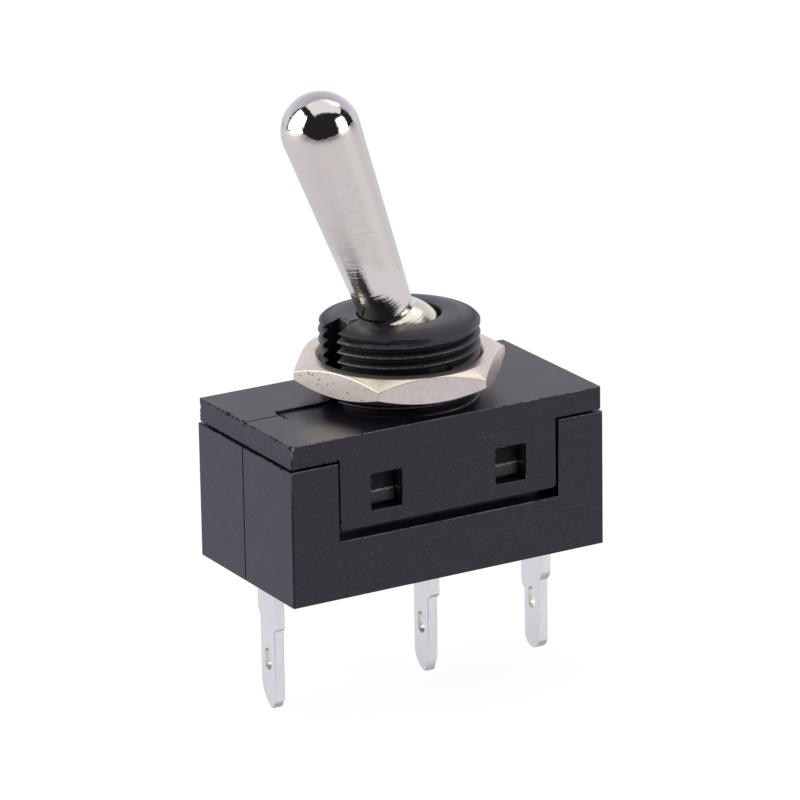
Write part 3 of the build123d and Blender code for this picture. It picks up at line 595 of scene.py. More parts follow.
def make_black_plastic():
    plastic = Finish("black_plastic", 0.0, 0.3)
    place = plastic.place
    x, y, z = plastic.parts(place)
    face_x, face_y, face_z = plastic.parts(plastic.facing)
    end_face = plastic.step(abs(face_x), 0.9, 0.98)
    long_face = plastic.step(abs(face_y), 0.9, 0.98)
    flat_most = abs(face_x).at_least(abs(face_y)).at_least(abs(face_z))
    on_edge = 1 - plastic.step(flat_most, 0.88, 0.985)
    front_edge = plastic.step(face_y * -1.0, 0.2, 0.5) * plastic.step(face_z, 0.2, 0.5)

    cloud = plastic.noise(place, 0.32, 4.0, 0.6)
    grain = plastic.noise(place, 5.0, 3.0, 0.65)
    fine_grain = plastic.noise(place, 13.0, 2.0, 0.6)
    drag = plastic.streaks(place, (0.22, 3.0, 3.6), 1.9, 4.0, 0.7)
    wipe = plastic.streaks(place, (0.5, 1.6, 0.5), 0.9, 3.0, 0.55)
    folds = plastic.streaks(place, (0.5, 1.5, 2.2), 3.0, 3.0, 0.6)
    speck_zone = plastic.step(plastic.noise(place, 0.9, 2.0), 0.47, 0.66)
    speck = (1 - plastic.step(plastic.cells(place, 3.1), 0.05, 0.12)) * speck_zone
    dust = 1 - plastic.step(plastic.cells(place, 1.35), 0.025, 0.05)

    on_bushing, crest_highlight, groove = thread_places(plastic, x, y, z, face_z, grain, fine_grain)
    near_boss, ridge_highlight, foot, ramp = boss_places(plastic, x, y, z, grain, fine_grain)
    end_pits = pit_places(plastic, x, y, z)
    plain_edge = on_edge * (1 - on_bushing)
    # Edges that face up and to the front are made paler: a painted highlight.
    painted_edge_highlight = plain_edge * front_edge * plastic.step(grain + cloud * 0.4, 0.46, 0.74)
    # All other plain edges are rougher and get painted shade.
    dull_shaded_edge = plain_edge * (1 - front_edge)

    drag_light = plastic.step(drag, 0.52, 0.8) * long_face
    # Painted shade: the thread's grooves, the boss ramps, the other plain edges and the pits
    # round the key groove are laid nearly black.
    painted_shade = groove.at_least(ramp).at_least(dull_shaded_edge).at_least(end_pits)
    tone = plastic.mix(cloud, (0.002, 0.0018, 0.008, 1), (0.005, 0.0045, 0.012, 1))
    tone = plastic.coats(
        tone,
        (plastic.step(grain, 0.45, 0.8), (0.024, 0.023, 0.032)),
        (plastic.step(fine_grain, 0.5, 0.72) * 0.6, (0.030, 0.029, 0.036)),
        (drag_light * 0.6, (0.050, 0.049, 0.050)),
        (speck * 0.35, (0.16, 0.158, 0.15)),
        (dust * 0.6, DUST_AND_EDGE_HIGHLIGHT),
        # painted highlight on the edges that face up and to the front, in the dust tone
        (painted_edge_highlight * 0.75, DUST_AND_EDGE_HIGHLIGHT),
        # painted highlight on the thread crests
        (crest_highlight * 0.6, (0.20, 0.195, 0.195)),
        # painted shade, nearly black
        (painted_shade * 0.9, (0.001, 0.001, 0.003)),
        (foot * grain * 0.45, (0.075, 0.075, 0.078)),
        # painted highlight on the boss ridges
        (ridge_highlight * 0.8, (0.42, 0.41, 0.39)),
    )

    coarse = end_face * plastic.step(z, COVER_UNDERSIDE, COVER_UNDERSIDE + 0.05)
    gloss = 0.25 + cloud * 0.07 + grain * 0.07 + wipe * 0.04
    gloss = gloss + long_face * drag * 0.08 + coarse * 0.08 + painted_edge_highlight * 0.15 + near_boss * 0.12
    gloss = gloss + groove * 0.2 + (ramp + dull_shaded_edge) * 0.3 + on_bushing * 0.02 + end_pits * 0.5
    height = grain * 0.5 + fine_grain * 0.4 + drag * long_face * 0.5 + coarse * grain * 0.9
    height = height + near_boss * grain * 0.8 + ramp * folds * 6.0 - speck * 0.25
    normal = plastic.bump(height, 0.026)
    plastic.feed(base_color=tone, roughness=gloss, normal=normal)
    return plastic.material


black_plastic = make_black_plastic()
print(black_plastic.name, len(black_plastic.node_tree.nodes), "nodes")

# %% [markdown]
# The lever is turned brass under nickel plate. Its tip was buffed to a mirror, and the
# bat below was left satin, with a ragged line where the buffing stopped. Near the ball
# the bat is brighter again. The pattern follows the lever, so its coordinates are turned
# into the lever's own frame: z runs along the bat from the pivot.

# %% Lever sizes and finish
joints = {joint["name"]: joint for joint in frame["joints"]}
pivot = Vector(joints["lever_pivot"]["pos_m"]) / MM
throw = radians(joints["lever_pivot"]["range_deg"][1])
lean = -throw / 2
BAT_TIP_RADIUS = 2.87
BAT_REACH = 20.93
tip_centre = BAT_REACH - BAT_TIP_RADIUS
BUFFED_EDGE = 0.5
BUFFED_RISE = 0.9
BUFFED_RISE_FROM = 1.3
BUFFED_RISE_TO = 2.3
GLOSSY_FOOT_BELOW = 6.9
GLOSSY_FOOT_SLOPE = 0.7
GLOSSY_FOOT_FADE = 0.6
RIPPLES_FROM = 5.5
RIPPLES_TO = 15.5


def make_lever_nickel():
    nickel = Finish("lever_nickel", 1.0, 0.3)
    place = nickel.turned(pivot, (0, lean, 0))
    x, y, along = nickel.parts(place)
    cloud = nickel.noise(place, 0.5, 4.0, 0.6)
    grain = nickel.noise(place, 9.0, 3.0, 0.7)
    ring = nickel.streaks(place, (0.45, 0.45, 5.6), 1.05, 1.2, 0.4)
    fine_ring = nickel.streaks(place, (0.8, 0.8, 9.0), 2.4, 3.0, 0.6)

    fringe = nickel.streaks(place, (1, 1, 0.3), 6.0, 4.0, 0.75)
    rise = nickel.step(x * -1.0, BUFFED_RISE_FROM, BUFFED_RISE_TO) * BUFFED_RISE
    edge = tip_centre + BUFFED_EDGE + rise + (fringe - 0.5) * 0.55
    buffed = nickel.step(along - edge, -0.035, 0.035)
    rub = nickel.streaks(place, (1.4, 1.4, 0.35), 1.6, 4.0, 0.7)
    foot_edge = GLOSSY_FOOT_BELOW - x * GLOSSY_FOOT_SLOPE + (rub - 0.5) * 4.0
    foot = 1 - nickel.step(along, foot_edge - GLOSSY_FOOT_FADE, foot_edge + GLOSSY_FOOT_FADE)

    satin = 0.265 + cloud * 0.08 + grain * 0.05
    satin = satin + foot * (0.075 - satin)
    roughness = satin + buffed * (0.02 - satin)
    ripple = nickel.band(ring, 0.475, 0.505, 0.018) * (1 - nickel.step(x, -0.6, 0.9))
    ripple = ripple * nickel.band(along, RIPPLES_FROM, RIPPLES_TO, 1.0)
    warm = nickel.streaks(place, (1, 1, 0.25), 0.9, 3.0, 0.5)
    # The bat's left side is painted darker: painted shade standing in for the dark reflections
    # on that side.
    left_side = nickel.step(x * -1.0, 0.8, 2.2)
    tone = nickel.mix(cloud, (0.75, 0.73, 0.60, 1), (0.81, 0.787, 0.65, 1))
    tone = nickel.coats(
        tone,
        (nickel.step(warm, 0.45, 0.7) * 0.5, (0.80, 0.76, 0.61)),
        (ripple * 0.5, (0.48, 0.42, 0.32)),
        # painted shade on the left side of the bat
        (left_side * 0.4, (0.64, 0.61, 0.51)),
        (buffed, (0.635, 0.612, 0.59)),
        (foot * 0.6, (0.78, 0.755, 0.63)),
    )
    height = ring * 0.55 + fine_ring * 0.12 + grain * 0.10
    turned_marks = nickel.bump(height * (1 - buffed), 0.018)
    wavy = nickel.noise(place, 2.2, 4.0, 0.6)
    wiped = nickel.streaks(place, (3.0, 3.0, 0.5), 2.0, 4.0, 0.7)
    crinkled = nickel.bump(wavy * buffed + wiped * foot, 0.016, turned_marks)
    nickel.feed(base_color=tone, roughness=roughness, normal=crinkled)
    return nickel.material


lever_nickel = make_lever_nickel()
print(lever_nickel.name, "lean", round(degrees(lean), 1))

# %% [markdown]
# The nut was cut from hexagon bar and plated. Its facets keep a satin, slightly warm
# nickel with short scratches and scattered pits, which show dark because they trap dirt.
# Most of the pits are on the left, and the right-hand facets are darker and browner.

# %% Nut nickel
def make_nut_nickel():
    nickel = Finish("nut_nickel", 1.0, 0.33)
    place = nickel.place
    x, y, z = nickel.parts(place)
    cloud = nickel.noise(place, 0.45, 4.0, 0.6)
    mottle = nickel.noise(place, 2.6, 4.0, 0.7)
    grain = nickel.noise(place, 8.0, 3.0, 0.6)
    upright = 1 - nickel.step(abs(nickel.parts(nickel.facing)[2]), 0.1, 0.3)
    left_side = nickel.step(x * -1.0 - y * 0.25, 5.4, 6.6) * upright
    pit_cell = nickel.cells(place, 2.6)
    pit_size = nickel.noise(place, 1.3, 2.0)
    pit = 1 - nickel.step(pit_cell - pit_size * 0.22 - left_side * 0.13 + 0.10, 0.0, 0.02)
    nick_cell = nickel.cells(nickel.stretched(place, (1.0, 1.0, 0.45)), 3.4)
    nick = (1 - nickel.step(nick_cell, 0.05, 0.1)) * nickel.step(mottle, 0.5, 0.6)
    lines = nickel.streaks(place, (1.2, 1.2, 9.0), 1.5, 4.0, 0.7)
    stain = nickel.step(nickel.noise(place, 1.1, 5.0, 0.75), 0.52, 0.7) * upright
    right_side = nickel.step(x + y * 0.25, 6.3, 6.9) * upright
    tone = nickel.mix(cloud, (0.765, 0.70, 0.585, 1), (0.875, 0.81, 0.68, 1))
    tone = nickel.coats(
        tone,
        (nickel.step(mottle, 0.45, 0.75) * 0.4, (0.66, 0.58, 0.47)),
        (stain * 0.35, (0.60, 0.50, 0.38)),
        (right_side * 0.6, (0.50, 0.455, 0.40)),
        (pit, (0.10, 0.082, 0.07)),
        (nick * 0.5, (0.28, 0.24, 0.20)),
    )
    roughness = 0.25 + cloud * 0.08 + grain * 0.06 + mottle * 0.08 + pit * 0.3
    height = grain * 0.25 + lines * 0.3 + mottle * 0.25 - pit - nick * 0.4
    nickel.feed(base_color=tone, roughness=roughness, normal=nickel.bump(height, 0.016))
    return nickel.material


nut_nickel = make_nut_nickel()
print(nut_nickel.name)

# %% [markdown]
# The terminals are stamped brass strip under bright tin. The wide faces keep the strip's
# smooth rolled skin. The narrow edges are sheared metal, rougher and a little warmer,
# so the finish asks which way the surface faces.

# %% Tinned brass
def make_tinned_brass():
    tin = Finish("tinned_brass", 1.0, 0.38)
    place = tin.place
    across, along, up = tin.parts(tin.facing)
    sheared = 1 - tin.step(abs(across), 0.5, 0.8)
    cloud = tin.noise(place, 0.7, 4.0, 0.6)
    rolled = tin.streaks(place, (4.0, 4.0, 0.6), 1.5, 3.0, 0.6)
    torn = tin.streaks(place, (3.0, 3.0, 1.2), 2.4, 4.0, 0.7)
    # Faces that point down are painted darker: painted shade from the shadowed floor below.
    underside_shade = tin.step(up * -1.0, 0.12, 0.4)
    tone = tin.mix(cloud, (0.82, 0.826, 0.755, 1), (0.865, 0.878, 0.80, 1))
    tone = tin.coats(
        tone,
        (sheared, (0.90, 0.915, 0.79)),
        (sheared * tin.step(torn, 0.45, 0.62), (1.0, 1.0, 0.91)),
        (underside_shade, (0.56, 0.55, 0.50)),
    )
    roughness = 0.26 + cloud * 0.10 + sheared * 0.10
    height = rolled * 0.25 + sheared * torn * 0.8
    tin.feed(base_color=tone, roughness=roughness, normal=tin.bump(height, 0.014))
    return tin.material


tinned_brass = make_tinned_brass()
print(tinned_brass.name)

# %% [markdown]
# Four plainer finishes serve the pieces inside the housing. Each still varies in tone and
# gloss, as drawn steel, moulded nylon, stamped strip and silver do.

# %% Inner finishes
def make_inner_finish(name, metallic, dark, pale, roughness, per_mm, depth_mm):
    finish = Finish(name, metallic, roughness)
    cloud = finish.noise(finish.place, per_mm, 4.0, 0.6)
    fine = finish.noise(finish.place, per_mm * 9, 2.0, 0.6)
    finish.feed(
        base_color=finish.mix(cloud, dark, pale),
        roughness=roughness + fine * 0.12,
        normal=finish.bump(fine, depth_mm),
    )


INNER_RECIPES = [
    ("bare_steel", 1.0, (0.50, 0.50, 0.51, 1), (0.66, 0.65, 0.64, 1), 0.25, 0.9, 0.006),
    ("plunger_nylon", 0.0, (0.72, 0.69, 0.60, 1), (0.82, 0.80, 0.72, 1), 0.35, 0.8, 0.006),
    ("copper_alloy", 1.0, (0.70, 0.47, 0.27, 1), (0.84, 0.62, 0.38, 1), 0.26, 0.7, 0.007),
    ("contact_silver", 1.0, (0.80, 0.80, 0.78, 1), (0.92, 0.91, 0.89, 1), 0.22, 1.2, 0.006),
]
for recipe in INNER_RECIPES:
    make_inner_finish(*recipe)
print("inner finishes ready")

# %% [markdown]
# The frame's solids arrive as loose triangles. A piece that keeps its solid's form starts
# as a copy of it: its corners are welded, flat triangles are joined into whole faces, and
# its sharp edges get the small round that every moulded or stamped edge has. That round
# is only a few hundredths of a millimetre, but it is what catches the light.

# %% Bench tools
WELD_DISTANCE = 0.0005
FLAT_WITHIN = radians(0.4)


def join_flats(skin):
    """Join neighbouring faces that lie in one plane."""
    bmesh.ops.dissolve_limit(
        skin, angle_limit=FLAT_WITHIN, verts=skin.verts, edges=skin.edges
    )


def welded_copy(node_name):
    """A solid's skin on the bench, in millimetres, with its corners joined."""
    skin = bmesh.new()
    skin.from_mesh(frame["nodes"][node_name].data)
    resize(skin, (1 / MM, 1 / MM, 1 / MM))
    bmesh.ops.remove_doubles(skin, verts=skin.verts, dist=WELD_DISTANCE)
    join_flats(skin)
    return skin


def bevel_edges(skin, edges, size, segments):
    """Cut or round some edges of a skin."""
    bmesh.ops.bevel(
        skin,
        geom=edges,
        offset=size,
        offset_type="OFFSET",
        affect="EDGES",
        segments=segments,
        profile=0.5,
        material=-1,
        clamp_overlap=False,
    )


def soften(skin, size, least_angle=50, keep=None):
    """Round the sharp outward edges of a skin."""
    edges = [
        edge
        for edge in skin.edges
        if len(edge.link_faces) == 2
        and edge.is_convex
        and edge.calc_face_angle() > radians(least_angle)
        and (keep is None or keep(edge))
    ]
    bevel_edges(skin, edges, size, 2)
    return len(edges)


def carve(skin, tool, operation="DIFFERENCE"):
    """Cut a tool's shape from a skin, or join it on, and return the new skin."""
    body = skin_object("bench_body", skin)
    cutter = skin_object("bench_tool", tool)
    modifier = body.modifiers.new("carve", "BOOLEAN")
    modifier.operation = operation
    modifier.solver = "EXACT"
    modifier.object = cutter
    bpy.context.view_layer.update()
    carved = bmesh.new()
    carved.from_object(body, bpy.context.evaluated_depsgraph_get())
    for holder in (body, cutter):
        mesh = holder.data
        bpy.data.objects.remove(holder)
        bpy.data.meshes.remove(mesh)
    return carved


def spin_outline(outline, closed, angle, steps, rise, merge):
    """Spin an outline of (radius, height) points round z, with a rise at each step."""
    skin = bmesh.new()
    points = [skin.verts.new((radius, 0, height)) for radius, height in outline]
    pairs = list(zip(points, points[1:]))
    if closed:
        pairs.append((points[-1], points[0]))
    edges = [skin.edges.new(pair) for pair in pairs]
    bmesh.ops.spin(
        skin,
        geom=points + edges,
        cent=(0, 0, 0),
        axis=(0, 0, 1),
        dvec=(0, 0, rise),
        angle=angle,
        steps=steps,
        use_merge=merge,
    )
    return skin


def turned_skin(outline, steps, closed=False):
    """Spin an outline once round the z axis."""
    skin = spin_outline(outline, closed, 2 * pi, steps, 0, True)
    bmesh.ops.remove_doubles(skin, verts=skin.verts, dist=WELD_DISTANCE)
    bmesh.ops.recalc_face_normals(skin, faces=skin.faces)
    return skin


def block(low, high):
    """A box between two corners."""
    skin = bmesh.new()
    bmesh.ops.create_cube(skin, size=1)
    low = Vector(low)
    high = Vector(high)
    resize(skin, high - low)
    shift(skin, (low + high) / 2)
    return skin


def rod(radius, length, segments=40):
    """A closed cylinder along z, with its middle at the origin."""
    skin = bmesh.new()
    bmesh.ops.create_cone(
        skin, cap_ends=True, segments=segments, radius1=radius, radius2=radius, depth=length
    )
    return skin


def cross_rod(radius, length):
    """A rod along y through the lever's pivot."""
    skin = rod(radius, length)
    turn_about(skin, pi / 2, "X")
    shift(skin, pivot)
    return skin


def arc(centre, radius, start, end, steps):
    """Points along an arc in an outline, from one angle to another in degrees."""
    angles = [radians(start + (end - start) * index / steps) for index in range(steps + 1)]
    return [(centre[0] + radius * cos(a), centre[1] + radius * sin(a)) for a in angles]


print("bench ready")

# %% [markdown]
# Real plastic shows where its mould met and where it broke. Two tools draw that. A bar is
# cut into short lengths that each wander a little, and a chip is a cube turned at random.
# The draws come from one seeded source, so that every run breaks the same edges.

# %% Ragged lines and chips
STATIONS_PER_MM = 50
CHIP_HALF_REACH = 0.88
CHIP_LEAST_GAP = 0.01
chance = random.Random(11)


def ragged_bar(low, high, cuts, wander):
    """A thin bar that wanders along its length, for the line where two moulds met."""
    bar = block(low, high)
    size = [top - bottom for bottom, top in zip(low, high)]
    length = size.index(max(size))
    long_edges = [
        edge
        for edge in bar.edges
        if abs(edge.verts[0].co[length] - edge.verts[1].co[length]) > size[length] / 2
    ]
    bmesh.ops.subdivide_edges(bar, edges=long_edges, cuts=cuts)
    shifts = {}
    for point in bar.verts:
        station = round(point.co[length] * STATIONS_PER_MM)
        if station not in shifts:
            shifts[station] = [chance.uniform(-wander, wander) for axis in range(3)]
        for axis in range(3):
            if axis != length:
                point.co[axis] += shifts[station][axis]
    return bar


def chip(chips, place, size, stretch=(1, 1, 1)):
    """Add a small cube, turned at random, to be cut away where plastic broke off."""
    angles = [chance.uniform(0, 2 * pi) for axis in range(3)]
    shape = (
        Matrix.Translation(place)
        @ Matrix.Diagonal(Vector(stretch) * size).to_4x4()
        @ Euler(angles).to_matrix().to_4x4()
    )
    bmesh.ops.create_cube(chips, size=1, matrix=shape)


def chip_edge(chips, start, end, sizes, gap):
    """Add chips of random size along an edge, none of which touch each other."""
    start = Vector(start)
    reach = Vector(end) - start
    along = reach.normalized()
    travelled = 0.0
    while travelled < reach.length:
        size = chance.uniform(*sizes)
        half = CHIP_HALF_REACH * size
        chip(chips, start + along * (travelled + half), size)
        travelled += 2 * half + chance.uniform(CHIP_LEAST_GAP, gap)


print("chips and lines ready")

# %% [markdown]
# A finished skin becomes an object at the origin. It takes the material that was made
# for its slot, smooth shading that stays sharp at real edges and the body that it moves
# with, and the solid that it stands for is hidden.

# %% Finished pieces
def finish_piece(name, skin, body, slot, nodes, sharp=32):
    """Turn a skin into a finished piece that rides on its body, if it is given one."""
    resize(skin, (MM, MM, MM))
    piece = skin_object(name, skin)
    mesh = piece.data
    mesh.materials.clear()
    mesh.materials.append(finishes[slot])
    mesh.shade_smooth()
    mesh.set_sharp_from_angle(angle=radians(sharp))
    even = piece.modifiers.new("even_shading", "WEIGHTED_NORMAL")
    even.keep_sharp = True
    if body:
        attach(piece, body)
    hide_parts(*nodes)
    print(name, len(mesh.polygons), "faces")
    return piece


def body_of(node_name):
    """The body that a solid rides on."""
    bodies = frame["record"]["behaviour"]["bodies"]
    return next(body for body, members in bodies.items() if node_name in members)


print("every node has a body:", all(body_of(name) for name in frame["nodes"]))

# %% [markdown]
# The lever is a lathe part: a round tip, a bat that narrows to its foot, a ball that
# rocks in the bushing, and a bored arm below. Its outline is drawn once in its own frame,
# with arcs for the round stretches, and spun in many fine steps, because the mirror tip
# would show every facet. It is then leaned over and moved to its pivot.

# %% Lever
BALL_RADIUS = 3.6
BAT_FOOT_RADIUS = 2.0
FOOT_FILLET = 0.12
ARM_RADIUS = 1.9
ARM_REACH = 7.6
ARM_CHAMFER = 0.3
PLUNGER_BORE_RADIUS = 1.15
PLUNGER_BORE_TOP = 1.5
PIN_HOLE_RADIUS = 0.77
LEVER_STEPS = 160
BAT_ROWS = 24
TIP_STEPS = 30
BALL_STEPS = 40

foot_along = (BALL_RADIUS**2 - BAT_FOOT_RADIUS**2) ** 0.5
foot_angle = degrees(atan2(foot_along, BAT_FOOT_RADIUS))
arm_along = -((BALL_RADIUS**2 - ARM_RADIUS**2) ** 0.5)
arm_angle = degrees(atan2(arm_along, ARM_RADIUS))

lever_outline = arc((0, tip_centre), BAT_TIP_RADIUS, 90, 0, TIP_STEPS)
for row in range(1, BAT_ROWS):
    share = row / BAT_ROWS
    lever_outline.append((
        BAT_TIP_RADIUS + share * (BAT_FOOT_RADIUS - BAT_TIP_RADIUS),
        tip_centre + share * (foot_along + FOOT_FILLET - tip_centre),
    ))
lever_outline.append((BAT_FOOT_RADIUS + 0.01, foot_along + FOOT_FILLET))
lever_outline.append((BAT_FOOT_RADIUS + 0.05, foot_along + 0.02))
lever_outline += arc((0, 0), BALL_RADIUS, foot_angle - 2.2, arm_angle, BALL_STEPS)
lever_outline += [
    (ARM_RADIUS, -ARM_REACH + ARM_CHAMFER),
    (ARM_RADIUS - ARM_CHAMFER, -ARM_REACH),
    (PLUNGER_BORE_RADIUS, -ARM_REACH),
    (PLUNGER_BORE_RADIUS, -PLUNGER_BORE_TOP),
    (0, -PLUNGER_BORE_TOP),
]
lever_skin = turned_skin(lever_outline, LEVER_STEPS)
turn_about(lever_skin, lean, "Y")
shift(lever_skin, pivot)

lever_skin = carve(lever_skin, cross_rod(PIN_HOLE_RADIUS, 3 * BALL_RADIUS))
finish_piece("lever_dressed", lever_skin, "toggle", "lever_nickel", ["lever"])

# %% [markdown]
# The nut could be a hexagonal prism with its corners cut by a cone. It is quicker the
# other way round: the coned ring is spun first, finely, and six flat planes then slice
# its sides off. Each slice leaves the curved edge that a real chamfered nut shows.

# %% Nut
NUT_ACROSS_FLATS = 14.12
NUT_CHAMFER_RADIUS = 7.0
NUT_CHAMFER_ANGLE = radians(30)
NUT_BORE_RADIUS = 5.70
NUT_BORE_CHAMFER = 0.45
NUT_TURN = radians(-10.93)
NUT_EDGE = 0.035
NUT_STEPS = 216

blank_radius = NUT_ACROSS_FLATS / 2 / cos(radians(30)) + 0.1
nut_drop = (blank_radius - NUT_CHAMFER_RADIUS) * tan(NUT_CHAMFER_ANGLE)
nut_outline = [
    (NUT_CHAMFER_RADIUS, nut_low.z),
    (blank_radius, nut_low.z + nut_drop),
    (blank_radius, nut_high.z - nut_drop),
    (NUT_CHAMFER_RADIUS, nut_high.z),
    (NUT_BORE_RADIUS + NUT_BORE_CHAMFER, nut_high.z),
    (NUT_BORE_RADIUS, nut_high.z - NUT_BORE_CHAMFER),
    (NUT_BORE_RADIUS, nut_low.z + NUT_BORE_CHAMFER),
    (NUT_BORE_RADIUS + NUT_BORE_CHAMFER, nut_low.z),
]
nut_skin = turned_skin(nut_outline, NUT_STEPS, closed=True)
for side in range(6):
    angle = NUT_TURN + radians(30 + 60 * side)
    outward = Vector((cos(angle), sin(angle), 0))
    sliced = bmesh.ops.bisect_plane(
        nut_skin,
        geom=nut_skin.verts[:] + nut_skin.edges[:] + nut_skin.faces[:],
        dist=0.0001,
        plane_co=outward * NUT_ACROSS_FLATS / 2,
        plane_no=outward,
        clear_outer=True,
    )
    rim = [item for item in sliced["geom_cut"] if isinstance(item, bmesh.types.BMEdge)]
    bmesh.ops.contextual_create(nut_skin, geom=rim)
bmesh.ops.recalc_face_normals(nut_skin, faces=nut_skin.faces)
soften(nut_skin, NUT_EDGE, least_angle=12)
finish_piece("nut_dressed", nut_skin, "nut", "nut_nickel", ["mounting_nut"], sharp=40)

# %% [markdown]
# The bushing is the piece to take care with. It is moulded with the cover as one, so the
# old plain bushing is cut off the cover's copy and a finely spun one is joined on. Then a
# long helical tool, a V with rounded shoulders, is spun round the axis with a step up at
# each turn and cut away. That leaves the rounded crests of a moulded thread. The keyway
# is cut last, so that the thread's ends show in its walls as they do on the real one.

# %% Bushing blank
BUSHING_RADIUS = 5.9
BUSHING_BEVEL_DROP = 0.32
BUSHING_RIM_CHAMFER = 0.22
BUSHING_FACE_RADIUS = 4.55
LEVER_HOLE_RADIUS = 3.1
HOLE_EDGE = 0.08
BALL_SEAT_RADIUS = 3.7
MOUTH_TOP = 0.6
MOUTH_RADIUS = 4.5
MOUTH_BOTTOM = -1.88
BLANK_SINK = 0.1
BUSHING_STEPS = 192

bushing_top = cover_high.z
rim_height = bushing_top - BUSHING_BEVEL_DROP
lip_bottom = pivot.z + (BALL_SEAT_RADIUS**2 - LEVER_HOLE_RADIUS**2) ** 0.5
lip_angle = degrees(atan2(lip_bottom - pivot.z, LEVER_HOLE_RADIUS))
mouth_slope = (MOUTH_RADIUS - BALL_SEAT_RADIUS) / (MOUTH_TOP - MOUTH_BOTTOM)
sunk_radius = BALL_SEAT_RADIUS + (MOUTH_TOP + BLANK_SINK) * mouth_slope

blank_outline = [
    (BUSHING_RADIUS, -BLANK_SINK),
    (BUSHING_RADIUS, rim_height - BUSHING_RIM_CHAMFER),
    (BUSHING_RADIUS - BUSHING_RIM_CHAMFER + 0.02, rim_height - 0.03),
    (BUSHING_RADIUS - BUSHING_RIM_CHAMFER - 0.03, rim_height + 0.005),
    (BUSHING_FACE_RADIUS + 0.12, bushing_top - 0.035),
    (BUSHING_FACE_RADIUS - 0.12, bushing_top),
    (LEVER_HOLE_RADIUS + HOLE_EDGE, bushing_top),
    (LEVER_HOLE_RADIUS + 0.02, bushing_top - 0.02),
    (LEVER_HOLE_RADIUS, bushing_top - HOLE_EDGE),
]
blank_outline += arc((0, pivot.z), BALL_SEAT_RADIUS, lip_angle, 0, 10)
blank_outline += [
    (BALL_SEAT_RADIUS, MOUTH_TOP),
    (sunk_radius, -BLANK_SINK),
]
blank = turned_skin(blank_outline, BUSHING_STEPS, closed=True)
print("bushing blank", len(blank.faces), "faces")

# %% Thread tool
THREAD_PITCH = 0.75
THREAD_GROOVE_AT_KEYWAY = 3.93
KEYWAY_ANGLE = 190.25
THREAD_STEPS = 96
THREAD_SHAPE = [
    (5.44, 0.03), (5.52, 0.09), (5.70, 0.19), (5.80, 0.25), (5.865, 0.31), (5.905, 0.37)
]
THREAD_CLEAR_RADIUS = 6.4
THREAD_BOTTOM = -0.45
THREAD_TOP = 5.42
RUN_OUT_TURNS = 80 / 360
RUN_OUT_LIFT = 0.5


def make_thread_tool():
    """The long helical groove, as a closed shape to cut away."""
    half = THREAD_SHAPE + [(THREAD_CLEAR_RADIUS, THREAD_SHAPE[-1][1])]
    outline = [(r, THREAD_BOTTOM - h) for r, h in half]
    outline += [(r, THREAD_BOTTOM + h) for r, h in reversed(half)]
    full_turns = (THREAD_TOP - THREAD_BOTTOM) / THREAD_PITCH
    steps = round((full_turns + RUN_OUT_TURNS) * THREAD_STEPS)
    turns = steps / THREAD_STEPS
    rise = THREAD_PITCH / THREAD_STEPS
    tool = spin_outline(outline, True, 2 * pi * turns, steps, rise, False)
    for point in tool.verts:
        part_turn = atan2(point.co.y, point.co.x) / (2 * pi)
        whole_turns = round((point.co.z - THREAD_BOTTOM) / THREAD_PITCH - part_turn)
        past = part_turn + whole_turns - full_turns
        if past > 0:
            radius = point.co.xy.length
            grown = 1 + RUN_OUT_LIFT * past / RUN_OUT_TURNS / radius
            point.co.x *= grown
            point.co.y *= grown
    ends = [edge for edge in tool.edges if edge.is_boundary]
    bmesh.ops.holes_fill(tool, edges=ends, sides=0)
    at_keyway = THREAD_BOTTOM - THREAD_GROOVE_AT_KEYWAY
    start_angle = radians(KEYWAY_ANGLE) + 2 * pi * at_keyway / THREAD_PITCH
    turn_about(tool, start_angle, "Z")
    bmesh.ops.recalc_face_normals(tool, faces=tool.faces)
    return tool, turns


thread_tool, thread_turns = make_thread_tool()
print("thread tool", round(thread_turns, 2), "turns,", len(thread_tool.faces), "faces")

# %% [markdown]
# The cover below the bushing keeps its solid's form: a plate, and on each long side a
# flap with two windows that snap over the base. It is welded, its edges are softened,
# and the bushing, the slots for the pivot pin and the keyway follow in the order in
# which they depend on each other.

# %% Cover
COVER_SOFT_EDGE = 0.045
KEYWAY_WIDTH = 2.1
KEYWAY_DEPTH = 1.5
KEYWAY_FLOOR_SLANT = 0.25
KEYWAY_CORNER = 0.5
GROOVE_DEPTH = 0.18
PIN_SLOT_HALF_WIDTH = 0.8
PIN_SLOT_REACH = 4.8

cover_skin = welded_copy("cover_housing")
old_bushing = rod(BUSHING_RADIUS + 0.3, bushing_top + 1, segments=64)
shift(old_bushing, (0, 0, (bushing_top + 1) / 2))
cover_skin = carve(cover_skin, old_bushing)
bmesh.ops.remove_doubles(cover_skin, verts=cover_skin.verts, dist=2 * WELD_DISTANCE)
join_flats(cover_skin)


def outside_bore(edge):
    """True for edges of the plate and flaps, away from the bore."""
    middle = (edge.verts[0].co + edge.verts[1].co) / 2
    return middle.xy.length > MOUTH_RADIUS + 0.6


print("softened", soften(cover_skin, COVER_SOFT_EDGE, keep=outside_bore), "edges")

# %% [markdown]
# Thermoset plastic is brittle. Where the runner and the thin flash were broken off, the
# edges are nibbled away, most of all along the top of the left end and round the end of
# the key groove. Chips that are cut together mustn't touch, so a second set falls between
# the first. Two deeper, ragged pits lie round the groove's end, and the fine line across
# the top is where the halves of the mould met.

# %% Chips in the cover
LEFT_END = cover_low.x
FRONT_FACE = cover_low.y
PLATE_UNDER = -1.73
FLAP_HALF = 9.05
FLAP_BOTTOM = -7.05
WINDOW_HALF = 1.275
WINDOW_MIDDLE = 5.2
WINDOW_TOP = -3.2
WINDOW_BOTTOM = -5.95
GROOVE_END = -9.8


